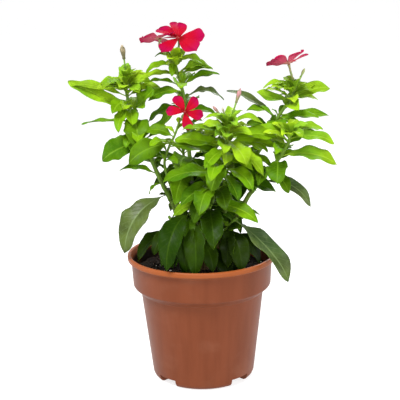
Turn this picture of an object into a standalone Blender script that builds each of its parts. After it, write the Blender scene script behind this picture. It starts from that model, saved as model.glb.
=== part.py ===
"""A Madagascar periwinkle in flower, in a round plastic nursery pot.

The pot, its compost, the main stem, the boughs and one foliage mass for each shoot are
separate solids.  Lengths are millimetres until a mesh is made; the meshes are metres.
The pot's axis is the Z axis, its feet stand on Z = 0, and the plant's front is -Y.
"""

import math
import random
from collections import namedtuple

import bmesh
import bpy
from mathutils import Matrix, Vector
from mathutils.bvhtree import BVHTree

MM = 0.001
GAP = 0.3  # between solids that touch
MERGE = 0.0001

# Pot
POT_HEIGHT = 112.0
RIM_RADIUS = 65.0
LIP_WIDTH = 3.0
LIP_HEIGHT = 5.2
WALL = 1.3
COLLAR_TOP_RADIUS = 61.8
COLLAR_FOOT_RADIUS = 60.6
COLLAR_FOOT = 85.0
SHOULDER_FOOT = 79.2
BODY_TOP_RADIUS = 54.0
BODY_FOOT_RADIUS = 45.2
BODY_FOOT = 4.0
FOOT_RADIUS = 41.4
FOOT_WIDTH = 6.0
FOOT_HEIGHT = 6.8
FOOT_COUNT = 4
FOOT_GAP_WIDTH = 19.2
FOOT_GAP_LENGTH = 24.0
FOOT_TURN = -0.4  # degrees, of the feet about the pot's axis
FLOOR_THICKNESS = 1.6
CENTRE_HOLE_RADIUS = 6.0
DRAIN_RADIUS = 4.0
DRAIN_CIRCLE = 28.0
POT_SEGMENTS = 36

# Compost
SOIL_LEVEL = 98.0
SOIL_EDGE_DROP = 1.6
SOIL_FLAT_RADIUS = 12.0
SOIL_SEGMENTS = 24
WALL_CLEARANCE = 0.6  # keeps GAP from the flats of the pot's facets

# Main stem, from its flat cut on the compost to its fork
STEM_PATH = ((1.5, -3.0, 98.3), (1.2, -3.4, 106.0), (2.0, -4.0, 116.0), (3.0, -5.0, 124.0))
STEM_RADII = (6.4, 4.6, 4.0, 3.6)

# Blades of leaf: how far along, and the half width there as a share of the leaf's
BLADE_OUTLINE = ((0.0, 0.0), (0.13, 0.14), (0.37, 0.92), (0.78, 0.84))
SMALL_BLADE_OUTLINE = ((0.0, 0.0), (0.13, 0.14), (0.56, 1.0))
SMALL_BLADE = 22.0  # the longest leaf that has the shorter outline
PETIOLE_WIDTH = 1.1
MIDRIB_THICKNESS = 1.0
EDGE_LIFT = 0.30  # of the half width, by which a blade's edges stand above its midrib
ROOT_DEPTH = 0.9  # how deep a petiole's root is sunk into its stem
TWIG_SIDES = 6
LIMB_SIDES = 6

# Petals: how far along, and the half width there as a share of the petal's length
PETAL_OUTLINE = ((0.10, 0.055), (0.40, 0.20), (0.76, 0.43), (0.97, 0.30))
PETAL_THICKNESS = 0.8
PETALS = 5
TUBE_RADIUS = 1.1

SIDE_AZIMUTH = {"right": 0.0, "back": 90.0, "left": 180.0, "front": 270.0}

# height: of its node above the ground; rise: of its chord above level, in degrees;
# turn: of its chord from its side's azimuth; width and arch: shares of its length;
# tilt: how far its upper face leans towards the front, in degrees.
Leaf = namedtuple("Leaf", "side height length rise turn width arch tilt", defaults=(0, 0.34, 0.13, 25))
Bud = namedtuple("Bud", "height tip bulge", defaults=(1.7,))
Flower = namedtuple("Flower", "centre facing diameter spin height cup", defaults=(0.06,))
# fill: how many nodes the rule adds along the shoot, with leaves that go from the first of
# lengths to the second; rosette: how many close pairs of young leaves crown its tip.
Shoot = namedtuple(
    "Shoot",
    "name path radii leaves buds flowers fill lengths rosette seed",
    defaults=((), (), (), 0, (40, 16), 0, 1),
)

SHOOTS = (
    Shoot(
        "left",
        ((-26, 4, 158), (-37, 8, 181), (-48.5, 12, 210), (-58, 15, 233), (-62.5, 18, 254), (-61.5, 18, 264)),
        (2.0, 1.2),
        (
            Leaf("left", 163, 64, -43, turn=35, width=0.36, arch=0.17, tilt=30),
            Leaf("left", 173, 15, -40, width=0.36),
            Leaf("left", 181, 33, 10, turn=10, width=0.30, arch=0.08),
            Leaf("left", 209, 40, -19, turn=20, width=0.52, arch=0.06, tilt=50),
            Leaf("right", 211, 38, 42, turn=-25, width=0.36, arch=-0.10, tilt=40),
            Leaf("front", 231, 34, -40, turn=10, width=0.66, arch=0.12, tilt=0),
            Leaf("left", 227, 46, -1, width=0.24, arch=0.02, tilt=8),
            Leaf("left", 236, 60, 25, turn=-8, width=0.30, arch=-0.01, tilt=45),
            Leaf("right", 236, 30, 40, turn=-30, width=0.62, arch=-0.04, tilt=55),
            Leaf("left", 248, 50, 13, turn=-5, width=0.26, arch=0.04, tilt=30),
            Leaf("right", 248, 30, 14, turn=-5, width=0.38, arch=0.08, tilt=40),
            Leaf("right", 257, 24, 12, turn=-25, width=0.46, tilt=40),
            Leaf("front", 250, 24, 10, turn=30, width=0.46, arch=0.10),
            Leaf("left", 252, 24, 24, turn=20, width=0.50, tilt=45),
            Leaf("left", 240, 32, -36, turn=70, width=0.52, tilt=10),
            Leaf("front", 244, 26, -16, turn=-28, width=0.50),
        ),
        (Bud(262, (-64.5, 17, 292)), Bud(214, (-60, 10, 219), 1.4)),
        (),
        fill=5,
        lengths=(38, 22),
        rosette=2,
        seed=3,
    ),
    Shoot(
        "centre_left",
        ((-7, 6, 168), (-9, 9, 200), (-9.5, 11, 222), (-12.5, 11, 248), (-17, 10, 266), (-20, 9, 280)),
        (2.0, 1.1),
        (
            Leaf("left", 190, 40, 8, turn=-10, width=0.36, arch=0.10, tilt=40),
            Leaf("right", 205, 38, 12, turn=10, width=0.34),
            Leaf("left", 235, 36, -20, turn=10, width=0.38, tilt=38),
            Leaf("front", 184, 42, -32, turn=-22, width=0.40),
            Leaf("left", 174, 36, -12, turn=5, width=0.40, tilt=35),
            Leaf("right", 234, 26, -8, turn=10, width=0.34),
            Leaf("right", 246, 34, -2, width=0.28, arch=0.19, tilt=25),
            Leaf("left", 252, 31, -14, turn=-5, width=0.36, arch=0.12, tilt=35),
            Leaf("left", 257, 31, 6, width=0.22, arch=0.08, tilt=20),
            Leaf("right", 257, 34, 17, turn=5, width=0.28, arch=0.10, tilt=25),
            Leaf("left", 267, 32, -5, turn=8, width=0.30, arch=0.05, tilt=25),
            Leaf("right", 267, 29, 12, turn=-8, width=0.34, arch=0.04, tilt=30),
            Leaf("left", 275, 27, -10, turn=20, width=0.34, arch=0.10, tilt=30),
            Leaf("right", 277, 25, -6, turn=-5, width=0.34, arch=0.20, tilt=30),
            Leaf("left", 278, 19, 12, turn=-25, width=0.36, arch=0.22, tilt=30),
            Leaf("front", 277, 17, -35, turn=-10, width=0.40, arch=0.10),
        ),
        (Bud(279, (-24, 8, 295), 1.3),),
        (
            Flower((-14.8, 3, 297), (0.0, -0.55, 0.83), 43, 3, 279),
            Flower((-32, 14, 295.5), (-0.22, 0.20, 0.95), 36, 28, 278),
        ),
        fill=6,
        lengths=(42, 24),
        rosette=1,
        seed=5,
    ),
    Shoot(
        "centre",
        ((4.5, -11, 148), (9, -15, 160), (15, -19, 176), (22, -22, 196), (22.5, -25, 214), (25, -27, 229)),
        (2.2, 1.3),
        (
            Leaf("left", 158, 38, 6, turn=35, width=0.28, arch=0.10, tilt=30),
            Leaf("right", 158, 49, -9, turn=-36, width=0.28, arch=0.12, tilt=25),
            Leaf("right", 180, 48, -10, turn=-12, width=0.38, arch=0.08, tilt=30),
            Leaf("left", 186, 55, 1, turn=14, width=0.28, arch=0.08, tilt=40),
            Leaf("front", 195, 33, -32, turn=-28, width=0.50, arch=0.14, tilt=0),
            Leaf("front", 172, 34, -16, turn=12, width=0.42, arch=0.14),
            Leaf("right", 211, 36, -12, turn=12, width=0.42, tilt=45),
            Leaf("right", 203, 37, -24, turn=-28, width=0.34, arch=0.14, tilt=30),
            Leaf("left", 200, 47, 15, turn=2, width=0.26, arch=0.08, tilt=35),
            Leaf("front", 215, 32, -28, turn=32, width=0.56, arch=0.10, tilt=0),
            Leaf("left", 210, 43, 9, turn=-4, width=0.32, arch=0.06, tilt=35),
            Leaf("right", 218, 41, -2, turn=0, width=0.32, arch=0.10, tilt=40),
            Leaf("left", 220, 39, 11, turn=4, width=0.27, arch=0.20, tilt=25),
            Leaf("right", 228, 28, 0, turn=5, width=0.30, arch=0.22, tilt=20),
            Leaf("left", 229, 22, 10, turn=-15, width=0.34, arch=0.18),
            Leaf("front", 229, 20, 6, turn=15, width=0.40, arch=0.14),
            Leaf("right", 231, 16, 40, turn=30, width=0.34),
            Leaf("left", 231, 15, 38, turn=30, width=0.34),
            Leaf("front", 231.5, 13, 45, turn=-40, width=0.36),
        ),
        (Bud(229, (34.5, -27, 258)), Bud(227, (11.5, -28, 244), 1.2), Bud(231, (19, -29, 243), 1.0)),
        (),
        fill=5,
        lengths=(44, 26),
        rosette=2,
        seed=8,
    ),
    Shoot(
        "right",
        ((44, -12, 168), (61, -17, 190), (68, -20, 200), (74, -23, 211), (75.5, -24, 221)),
        (2.0, 1.3),
        (
            Leaf("right", 177, 47.5, -24, turn=-14, width=0.30, arch=0.18, tilt=30),
            Leaf("front", 196, 30, -26, turn=-20, width=0.60, arch=0.12, tilt=0),
            Leaf("right", 200, 47, -6, turn=-13, width=0.28, arch=0.13, tilt=35),
            Leaf("left", 202, 27, 24, turn=-15, width=0.34, tilt=35),
            Leaf("right", 208, 27, 28, turn=14, width=0.44, tilt=40),
            Leaf("left", 213, 30, 22, turn=-20, width=0.34, tilt=30),
            Leaf("right", 215, 37, -5, turn=-4, width=0.30, arch=0.12, tilt=35),
            Leaf("right", 219, 30, 4, turn=20, width=0.30, tilt=30),
            Leaf("front", 217, 24, 8, turn=20, width=0.36, arch=0.18),
        ),
        (),
        (),
        fill=4,
        lengths=(28, 24),
        rosette=2,
        seed=11,
    ),
    Shoot(
        "upper_right",
        ((36, 13, 174), (48, 16, 192), (57, 18, 205), (68, 20, 225), (77, 22, 238), (85, 23, 252)),
        (2.0, 1.2),
        (
            Leaf("left", 225, 50, 32, turn=-5, width=0.24, arch=0.12, tilt=20),
            Leaf("right", 229, 42, 0, turn=-5, width=0.22, arch=0.03),
            Leaf("right", 224, 38, 6, turn=-22, width=0.28, arch=0.05, tilt=30),
            Leaf("left", 243, 30, 13, turn=5, width=0.34, arch=-0.06, tilt=40),
            Leaf("right", 241, 37, 17, turn=3, width=0.30, arch=0.10, tilt=40),
            Leaf("left", 250, 28, 6, turn=8, width=0.26, arch=0.20, tilt=20),
            Leaf("front", 249, 20, 12, turn=-30, width=0.42, arch=0.12),
            Leaf("front", 236, 26, 2, turn=20, width=0.50, arch=0.12),
            Leaf("left", 215, 26, 10, turn=-40, width=0.44, tilt=40),
            Leaf("left", 226, 30, 18, turn=18, width=0.50, tilt=50),
        ),
        (Bud(250, (92.5, 23, 268.5), 1.2), Bud(233, (87.5, 20, 242), 1.3)),
        (Flower((78.5, 23, 272.5), (-0.22, 0.28, 0.93), 40, 6, 251, cup=0.34),),
        fill=6,
        lengths=(40, 24),
        rosette=2,
        seed=17,
    ),
    Shoot(
        "slender",
        ((-26, -8, 176), (-30, -10, 193), (-26, -11, 207), (-20.5, -11, 218), (-16.5, -12, 229)),
        (1.3, 0.9),
        (
            Leaf("left", 211, 40, -20, turn=18, width=0.46, arch=0.06, tilt=55),
            Leaf("left", 216, 25, 12, turn=-10, width=0.50, tilt=50),
            Leaf("right", 216, 24, -6, turn=-20, width=0.36, tilt=30),
            Leaf("right", 196, 20, -4, turn=-30, width=0.36, tilt=30),
        ),
        (),
        (Flower((-11.5, -24, 239), (0.05, -0.94, 0.34), 27, -20, 229),),
        seed=19,
    ),
    Shoot(
        "low_front",
        ((-1, -13, 116), (-4, -18, 130), (-8, -22, 144), (-9, -25, 156)),
        (1.8, 1.1),
        (
            Leaf("front", 154, 58, -52, turn=-28, width=0.34, arch=0.22),
            Leaf("front", 149, 52, -52, turn=6, width=0.36, arch=0.22),
            Leaf("left", 146, 34, -28, turn=20, width=0.40, arch=0.18, tilt=40),
            Leaf("front", 130, 36, -40, turn=30, width=0.40, arch=0.18),
            Leaf("left", 128, 40, -24, turn=32, width=0.36, arch=0.20, tilt=30),
            Leaf("right", 150, 20, 8, turn=-20, width=0.40, arch=0.14),
        ),
        fill=0,
        seed=23,
    ),
    Shoot(
        "low_right",
        ((8, -12, 112), (15, -16, 126), (24, -19, 140), (31, -20, 147)),
        (1.8, 1.2),
        (
            Leaf("right", 145, 69, -41, turn=-31, width=0.31, arch=0.13, tilt=20),
            Leaf("front", 138, 42, -46, turn=22, width=0.42, arch=0.20),
            Leaf("right", 130, 40, -30, turn=-20, width=0.38, arch=0.22),
            Leaf("front", 120, 34, -42, turn=-4, width=0.42, arch=0.16),
            Leaf("right", 146, 22, 6, turn=20, width=0.40, arch=0.14),
        ),
        fill=0,
        seed=29,
    ),
    Shoot(
        "low_left",
        ((-10, -5, 111), (-17, -6, 124), (-23, -4, 136), (-28, -1, 145)),
        (1.8, 1.1),
        (
            Leaf("left", 140, 34, -42, turn=50, width=0.38, arch=0.18, tilt=20),
            Leaf("left", 128, 42, -28, turn=10, width=0.36, arch=0.22),
        ),
        fill=2,
        lengths=(34, 24),
        seed=31,
    ),
    Shoot(
        "back_left",
        ((-6, 13, 126), (-9, 26, 150), (-13, 35, 176), (-15, 40, 198)),
        (2.0, 1.2),
        fill=8,
        lengths=(38, 22),
        rosette=1,
        seed=37,
    ),
    Shoot(
        "back",
        ((3, 16, 130), (7, 28, 158), (10, 36, 188), (11, 40, 212)),
        (2.0, 1.2),
        fill=9,
        lengths=(40, 22),
        rosette=1,
        seed=41,
    ),
    Shoot(
        "back_right",
        ((12, 11, 126), (20, 22, 148), (28, 32, 170), (33, 38, 194)),
        (2.0, 1.2),
        fill=8,
        lengths=(38, 22),
        rosette=1,
        seed=43,
    ),
    Shoot(
        "low_back",
        ((2, 8, 107), (0, 20, 120), (-1, 32, 134)),
        (1.7, 1.1),
        fill=4,
        lengths=(44, 32),
        seed=47,
    ),
)

# The rule for leaves that are not listed: angles in degrees, from a shoot's foot to its tip
RULE_FOOT_CLEAR, RULE_TIP_CLEAR = 6.0, 4.0
RULE_RISE_LOW, RULE_RISE_GAIN, RULE_RISE_POWER = -22.0, 52.0, 1.4
RULE_ARCH_LOW, RULE_ARCH_LOSS = 0.20, 0.08
ROSETTE_DEPTH, ROSETTE_STEP = 5.5, 2.2
ROSETTE_LENGTH, ROSETTE_SHORTER = 23.0, 5.0
ROSETTE_RISE, ROSETTE_STEEPER = 22.0, 17.0
# Turns and lifts tried in order for a leaf that would touch something
TRIES = ((0, 0), (14, 0), (-14, 0), (0, 12), (0, -12), (26, 6), (-26, 6), (38, -8), (-38, -8))

# Where each shoot forks from the main stem (the height there), and the bends of the bough
# that carries it.  A low shoot grows from the main stem itself and has no bough.
FORKS = {
    "left": (107.0, ((-14, 1, 129),)),
    "centre_left": (116.0, ((-3.5, 1, 130),)),
    "centre": (124.0, ((3.5, -10.5, 136),)),
    "right": (105.5, ((19, -7, 125), (33, -9, 149))),
    "upper_right": (116.0, ((13, 1, 132), (25, 8, 154))),
    "slender": (114.0, ((-8, -12, 131), (-20, -9, 156))),
    "back_left": (105.0, ((-3.5, 7, 113.5),)),
    "back": (112.0, ((2.5, 5, 120),)),
    "back_right": (104.0, ((8.5, 4.5, 114),)),
    "low_front": (108.0, None),
    "low_right": (104.0, None),
    "low_left": (103.5, None),
    "low_back": (101.5, None),
}
BOUGH_FOOT_RADIUS = 2.2
BOUGH_END_STRAIGHT = 4.0

# Looks: a colour and a roughness
LEAF_GREEN = (0.10, 0.27, 0.02, 1.0), 0.45
STEM_GREEN = (0.16, 0.22, 0.05, 1.0), 0.6
COMPOST_BROWN = (0.02, 0.013, 0.01, 1.0), 0.95
POT_BROWN = (0.29, 0.085, 0.042, 1.0), 0.5
SMOOTH_BELOW = 35.0  # degrees between faces


def clear_scene():
    for old in list(bpy.data.objects):
        bpy.data.objects.remove(old, do_unlink=True)


def new_collection(name):
    made = bpy.data.collections.new(name)
    bpy.context.scene.collection.children.link(made)
    return made


def material(name, look):
    """A node's own material, in one of the looks above."""
    colour, roughness = look
    made = bpy.data.materials.new(name)
    made.use_nodes = True
    shader = made.node_tree.nodes["Principled BSDF"]
    shader.inputs["Base Color"].default_value = colour
    shader.inputs["Roughness"].default_value = roughness
    shader.inputs["Metallic"].default_value = 0.0
    return made


def add_object(name, mesh, collection, look=None):
    made = bpy.data.objects.new(name, mesh)
    collection.objects.link(made)
    if look is not None:
        mesh.materials.append(material(name, look))
    return made


def evaluated_mesh(source, name):
    """The mesh that an object's modifiers or curve give, with its caps welded."""
    view = bpy.context.evaluated_depsgraph_get()
    mesh = bpy.data.meshes.new_from_object(source.evaluated_get(view))
    mesh.name = name
    shape = bmesh.new()
    shape.from_mesh(mesh)
    bmesh.ops.remove_doubles(shape, verts=shape.verts, dist=1e-6)
    bmesh.ops.recalc_face_normals(shape, faces=shape.faces)
    shape.to_mesh(mesh)
    shape.free()
    return mesh


def mesh_of(name, points, faces):
    """A mesh in metres from points in millimetres."""
    mesh = bpy.data.meshes.new(name)
    mesh.from_pydata([tuple(p * MM) for p in points], [], faces)
    return mesh


def turned(name, profile, segments, collection, look):
    """A profile in the XZ plane, listed down its outer side, turned about the Z axis."""
    points = [Vector((radius, 0.0, height)) for radius, height in profile]
    mesh = bpy.data.meshes.new(name)
    edges = [(i, (i + 1) % len(points)) for i in range(len(points))]
    if profile[0][0] == 0.0:
        edges.pop()
    mesh.from_pydata([tuple(p * MM) for p in points], edges, [])
    made = add_object(name, mesh, collection, look)
    screw = made.modifiers.new("turn", "SCREW")
    screw.steps = segments
    screw.render_steps = segments
    screw.use_merge_vertices = True
    screw.merge_threshold = MERGE
    return made


# Limbs


def smooth_path(points, steps=2):
    """Points along a Catmull-Rom curve through the given ones."""
    given = [Vector(p) for p in points]
    ends = [2 * given[0] - given[1]] + given + [2 * given[-1] - given[-2]]
    out = []
    for a, b, c, d in zip(ends, ends[1:], ends[2:], ends[3:]):
        for i in range(steps):
            t = i / steps
            out.append(
                0.5 * (2 * b + (c - a) * t + (2 * a - 5 * b + 4 * c - d) * t**2
                       + (3 * b - a - 3 * c + d) * t**3)
            )
    return out + [given[-1]]


def spread(values, count):
    """As many values as asked for, read evenly along a short list of them."""
    out = []
    for i in range(count):
        at = i * (len(values) - 1) / (count - 1)
        low = min(int(at), len(values) - 2)
        out.append(values[low] + (values[low + 1] - values[low]) * (at - low))
    return out


def limb_mesh(name, path, radii, sides):
    """A round limb of changing radius with flat ends, from a bevelled curve."""
    curve = bpy.data.curves.new(name, "CURVE")
    curve.dimensions = "3D"
    curve.bevel_depth = MM
    curve.bevel_resolution = sides // 2 - 2
    curve.use_fill_caps = True
    curve.twist_mode = "MINIMUM"
    spline = curve.splines.new("POLY")
    spline.points.add(len(path) - 1)
    for point, place, radius in zip(spline.points, path, spread(radii, len(path))):
        point.co = (*(place * MM), 1.0)
        point.radius = radius
    tube = bpy.data.objects.new(name, curve)
    bpy.context.scene.collection.objects.link(tube)
    mesh = evaluated_mesh(tube, name)
    bpy.data.objects.remove(tube, do_unlink=True)
    bpy.data.curves.remove(curve)
    return mesh


def at_height(path, height):
    """The point at a height on a path, and the path's direction there."""
    for low, high in zip(path, path[1:]):
        if low.z <= height <= high.z:
            share = (height - low.z) / (high.z - low.z)
            return low.lerp(high, share), (high - low).normalized()
    end = path[-1] if height > path[-1].z else path[0]
    return end.copy(), (path[-1] - path[-2]).normalized()


def tree_of(meshes_mm):
    """One search tree over several (points, faces) in millimetres."""
    points, faces = [], []
    for some_points, some_faces in meshes_mm:
        start = len(points)
        points += some_points
        faces += [tuple(i + start for i in face) for face in some_faces]
    return BVHTree.FromPolygons(points, faces)


def in_millimetres(mesh):
    points = [v.co / MM for v in mesh.vertices]
    return points, [tuple(p.vertices) for p in mesh.polygons]


# Leaves, petals and buds


def blade(base, azimuth, leaf, swell=0.0):
    """A leaf's (points, faces): a thin arched blade, folded a little up its midrib.

    swell widens and thickens it, for testing how near its neighbours are.
    """
    turn, rise = math.radians(azimuth), math.radians(leaf.rise)
    chord = Vector((math.cos(turn) * math.cos(rise), math.sin(turn) * math.cos(rise), math.sin(rise)))
    up = Vector((-math.cos(turn) * math.sin(rise), -math.sin(turn) * math.sin(rise), math.cos(rise)))
    side = chord.cross(up)
    tilt = math.radians(leaf.tilt) * (-1 if side.y > 0 else 1)
    normal = up * math.cos(tilt) + side * math.sin(tilt)
    across = chord.cross(normal)
    half_width = leaf.length * leaf.width / 2
    points, faces = [], []
    outline = SMALL_BLADE_OUTLINE if leaf.length < SMALL_BLADE else BLADE_OUTLINE
    for along, share in outline:
        arched = 4 * leaf.arch * leaf.length * along * (1 - along)
        middle = base + chord * (along * leaf.length) + up * arched
        half = max(half_width * share, PETIOLE_WIDTH / 2) + swell
        lift = normal * (half * EDGE_LIFT if along > outline[1][0] else 0.0)
        thick = normal * (MIDRIB_THICKNESS * (1 - 0.5 * along) / 2 + swell)
        points += [middle + across * half + lift, middle + thick]
        points += [middle - across * half + lift, middle - thick]
    tip = len(points)
    points.append(base + chord * (leaf.length + swell))
    stations = len(outline)
    faces.append((3, 2, 1, 0))
    for station in range(stations - 1):
        for corner in range(4):
            a, b = 4 * station + corner, 4 * station + (corner + 1) % 4
            faces.append((a, b, b + 4, a + 4))
    last = 4 * (stations - 1)
    for corner in range(4):
        faces.append((last + corner, last + (corner + 1) % 4, tip))
    return points, faces


def petal(centre, facing, reach, spin, cup):
    """One petal's (points, faces): flat, narrow at the throat and broad near its end."""
    frame = facing.to_track_quat("Z", "Y").to_matrix()
    out = frame @ Vector((math.cos(spin), math.sin(spin), cup)).normalized()
    side = frame @ Vector((-math.sin(spin), math.cos(spin), 0.0))
    points, faces = [], []
    for along, share in PETAL_OUTLINE:
        middle = centre + out * (along * reach) + side * (0.10 * reach * along**2)
        half, thick = side * (share * reach), facing * (PETAL_THICKNESS / 2)
        points += [middle + half, middle + thick, middle - half, middle - thick]
    faces.append((3, 2, 1, 0))
    stations = len(PETAL_OUTLINE)
    for station in range(stations - 1):
        for corner in range(4):
            a, b = 4 * station + corner, 4 * station + (corner + 1) % 4
            faces.append((a, b, b + 4, a + 4))
    faces.append(tuple(4 * (stations - 1) + corner for corner in range(4)))
    return points, faces


def closed_outward(name, points, faces):
    """The mesh of evenly wound faces, turned inside out if they face inward."""
    volume = 0.0
    for face in faces:
        for second, third in zip(face[1:], face[2:]):
            volume += points[face[0]].dot(points[second].cross(points[third]))
    if volume < 0.0:
        faces = [tuple(reversed(face)) for face in faces]
    return mesh_of(name, points, faces)


def flower_meshes(flower, stem_path):
    """A flower's five petals, and the tube and stalk that carry it from the stem."""
    centre, facing = Vector(flower.centre), Vector(flower.facing).normalized()
    meshes = []
    for number in range(PETALS):
        spin = math.radians(flower.spin) + math.tau * number / PETALS
        shape = petal(centre, facing, flower.diameter / 2, spin, flower.cup)
        meshes.append(closed_outward("petal", *shape))
    foot, _ = at_height(stem_path, flower.height)
    back = centre - facing * min(9.0, (centre - foot).length / 2)
    tube = smooth_path((centre + facing * 0.6, back, foot), 3)
    meshes.append(limb_mesh("tube", tube, (2.4, TUBE_RADIUS, TUBE_RADIUS, 1.2), TWIG_SIDES))
    return meshes


def bud_mesh(bud, stem_path):
    """A spindle-shaped bud on its thin tube."""
    foot, _ = at_height(stem_path, bud.height)
    path = smooth_path((foot, foot.lerp(Vector(bud.tip), 0.5), Vector(bud.tip)), 3)
    return limb_mesh("bud", path, (0.9, 0.7, 0.8, bud.bulge, 0.35), TWIG_SIDES)


# Growing


def rule_leaves(shoot, path):
    """Opposite pairs, each a quarter turn from the one below, that shorten up the shoot."""
    draw = random.Random(shoot.seed)
    leaves = []
    bearing = 90.0 if shoot.leaves else draw.uniform(0, 180)
    low, high = path[0].z + RULE_FOOT_CLEAR, path[-1].z - RULE_TIP_CLEAR
    for node in range(shoot.fill):
        age = node / max(shoot.fill - 1, 1)
        height = low + (high - low) * age
        length = shoot.lengths[0] + (shoot.lengths[1] - shoot.lengths[0]) * age
        for opposite in (0, 180):
            leaves.append(
                Leaf(
                    "right",
                    height,
                    length * draw.uniform(0.85, 1.12),
                    RULE_RISE_LOW + RULE_RISE_GAIN * age**RULE_RISE_POWER + draw.uniform(-9, 9),
                    bearing + opposite + draw.uniform(-16, 16),
                    draw.uniform(0.36, 0.44),
                    RULE_ARCH_LOW - RULE_ARCH_LOSS * age + draw.uniform(-0.03, 0.03),
                    draw.uniform(-5, 30),
                )
            )
        bearing += draw.uniform(-14, 14) if shoot.leaves else 90
    return leaves


def rosette_leaves(shoot, path):
    """Close pairs of young leaves that crown a shoot, the innermost short and upright."""
    draw = random.Random(shoot.seed + 100)
    leaves = []
    bearing = draw.uniform(0, 90)
    for ring in range(shoot.rosette):
        height = path[-1].z - ROSETTE_DEPTH + ROSETTE_STEP * ring
        for opposite in (0, 180):
            turn = bearing + opposite + draw.uniform(-12, 12)
            length = (ROSETTE_LENGTH - ROSETTE_SHORTER * ring) * draw.uniform(0.9, 1.15)
            rise = ROSETTE_RISE + ROSETTE_STEEPER * ring + draw.uniform(-8, 8)
            leaves.append(Leaf("right", height, length, rise, turn, 0.42, 0.12))
        bearing += 90
    return leaves


def placed_blades(shoot, path, own_radius, taken):
    """The blades of a shoot that keep clear of everything in taken, turned if they must."""
    blades, skipped = [], 0
    wanted = [*shoot.leaves, *rosette_leaves(shoot, path), *rule_leaves(shoot, path)]
    for leaf in wanted:
        node, _ = at_height(path, leaf.height)
        for turn, lift in TRIES:
            azimuth = SIDE_AZIMUTH[leaf.side] + leaf.turn + turn
            heading = Vector((math.cos(math.radians(azimuth)), math.sin(math.radians(azimuth)), 0))
            base = node + heading * max(own_radius - ROOT_DEPTH, 0.1)
            trial = leaf._replace(rise=leaf.rise + lift)
            swollen = tree_of([blade(base, azimuth, trial, swell=GAP)])
            if not any(swollen.overlap(tree) for tree in taken):
                blades.append(blade(base, azimuth, trial))
                break
        else:
            skipped += 1
    return blades, skipped


def keep_largest_shell(mesh):
    """Fills sealed hollows and drops loose scraps: only the largest shell stays."""
    shape = bmesh.new()
    shape.from_mesh(mesh)
    unseen, shells = set(shape.faces), []
    while unseen:
        front = [unseen.pop()]
        shell = set(front)
        while front:
            for edge in front.pop().edges:
                for face in edge.link_faces:
                    if face in unseen:
                        unseen.remove(face)
                        shell.add(face)
                        front.append(face)
        shells.append(shell)
    largest = max(shells, key=len)
    loose = [face for face in shape.faces if face not in largest]
    bmesh.ops.delete(shape, geom=loose, context="FACES")
    shape.to_mesh(mesh)
    shape.free()
    return len(shells) - 1


def fuse(name, stem_mesh, meshes, collection, look):
    """One solid from a stem and everything that is sunk into it."""
    body = add_object(name, stem_mesh, collection)
    pieces = new_collection(name + "_pieces")
    for mesh in meshes:
        add_object("piece", mesh, pieces)
    for mesh in (stem_mesh, *meshes):
        mesh.transform(Matrix.Scale(1 / MM, 4))
    union = body.modifiers.new("fuse", "BOOLEAN")
    union.operation = "UNION"
    union.operand_type = "COLLECTION"
    union.collection = pieces
    union.solver = "MANIFOLD"
    mesh = evaluated_mesh(body, name)
    body.modifiers.remove(union)
    body.data = mesh
    for piece in list(pieces.objects):
        bpy.data.objects.remove(piece, do_unlink=True)
    bpy.data.collections.remove(pieces)
    mesh.transform(Matrix.Scale(MM, 4))
    scraps = keep_largest_shell(mesh)
    mesh.materials.clear()
    mesh.materials.append(material(name, look))
    return body, scraps


# Pot and compost


INNER_WALL = slice(14, 19)  # of the pot's profile, from its floor up to its lip


def pot_profile():
    """Down the pot's outer side, across its underside and up its inner side."""
    lip_bottom = POT_HEIGHT - LIP_HEIGHT
    inner = -WALL
    base_top = FOOT_HEIGHT + FLOOR_THICKNESS
    return (
        (RIM_RADIUS - 0.7, POT_HEIGHT),
        (RIM_RADIUS, POT_HEIGHT - 1.0),
        (RIM_RADIUS, lip_bottom + 0.8),
        (COLLAR_TOP_RADIUS, lip_bottom - 0.3),
        (COLLAR_FOOT_RADIUS, COLLAR_FOOT),
        (COLLAR_FOOT_RADIUS - 0.8, COLLAR_FOOT - 1.2),
        (BODY_TOP_RADIUS, SHOULDER_FOOT - 0.3),
        (BODY_FOOT_RADIUS, BODY_FOOT),
        (BODY_FOOT_RADIUS - 1.2, BODY_FOOT - 2.4),
        (FOOT_RADIUS, 0.0),
        (FOOT_RADIUS - FOOT_WIDTH, 0.0),
        (FOOT_RADIUS - FOOT_WIDTH - 0.6, FOOT_HEIGHT),
        (CENTRE_HOLE_RADIUS, FOOT_HEIGHT),
        (CENTRE_HOLE_RADIUS, base_top),
        (BODY_FOOT_RADIUS + inner - 1.6, base_top),
        (BODY_FOOT_RADIUS + inner + 0.4, base_top + 2.0),
        (BODY_TOP_RADIUS + inner, SHOULDER_FOOT + 0.2),
        (COLLAR_FOOT_RADIUS + inner, COLLAR_FOOT + 0.9),
        (COLLAR_TOP_RADIUS + inner, lip_bottom),
        (RIM_RADIUS - LIP_WIDTH, POT_HEIGHT - 1.0),
        (RIM_RADIUS - LIP_WIDTH + 0.7, POT_HEIGHT),
    )


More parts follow.
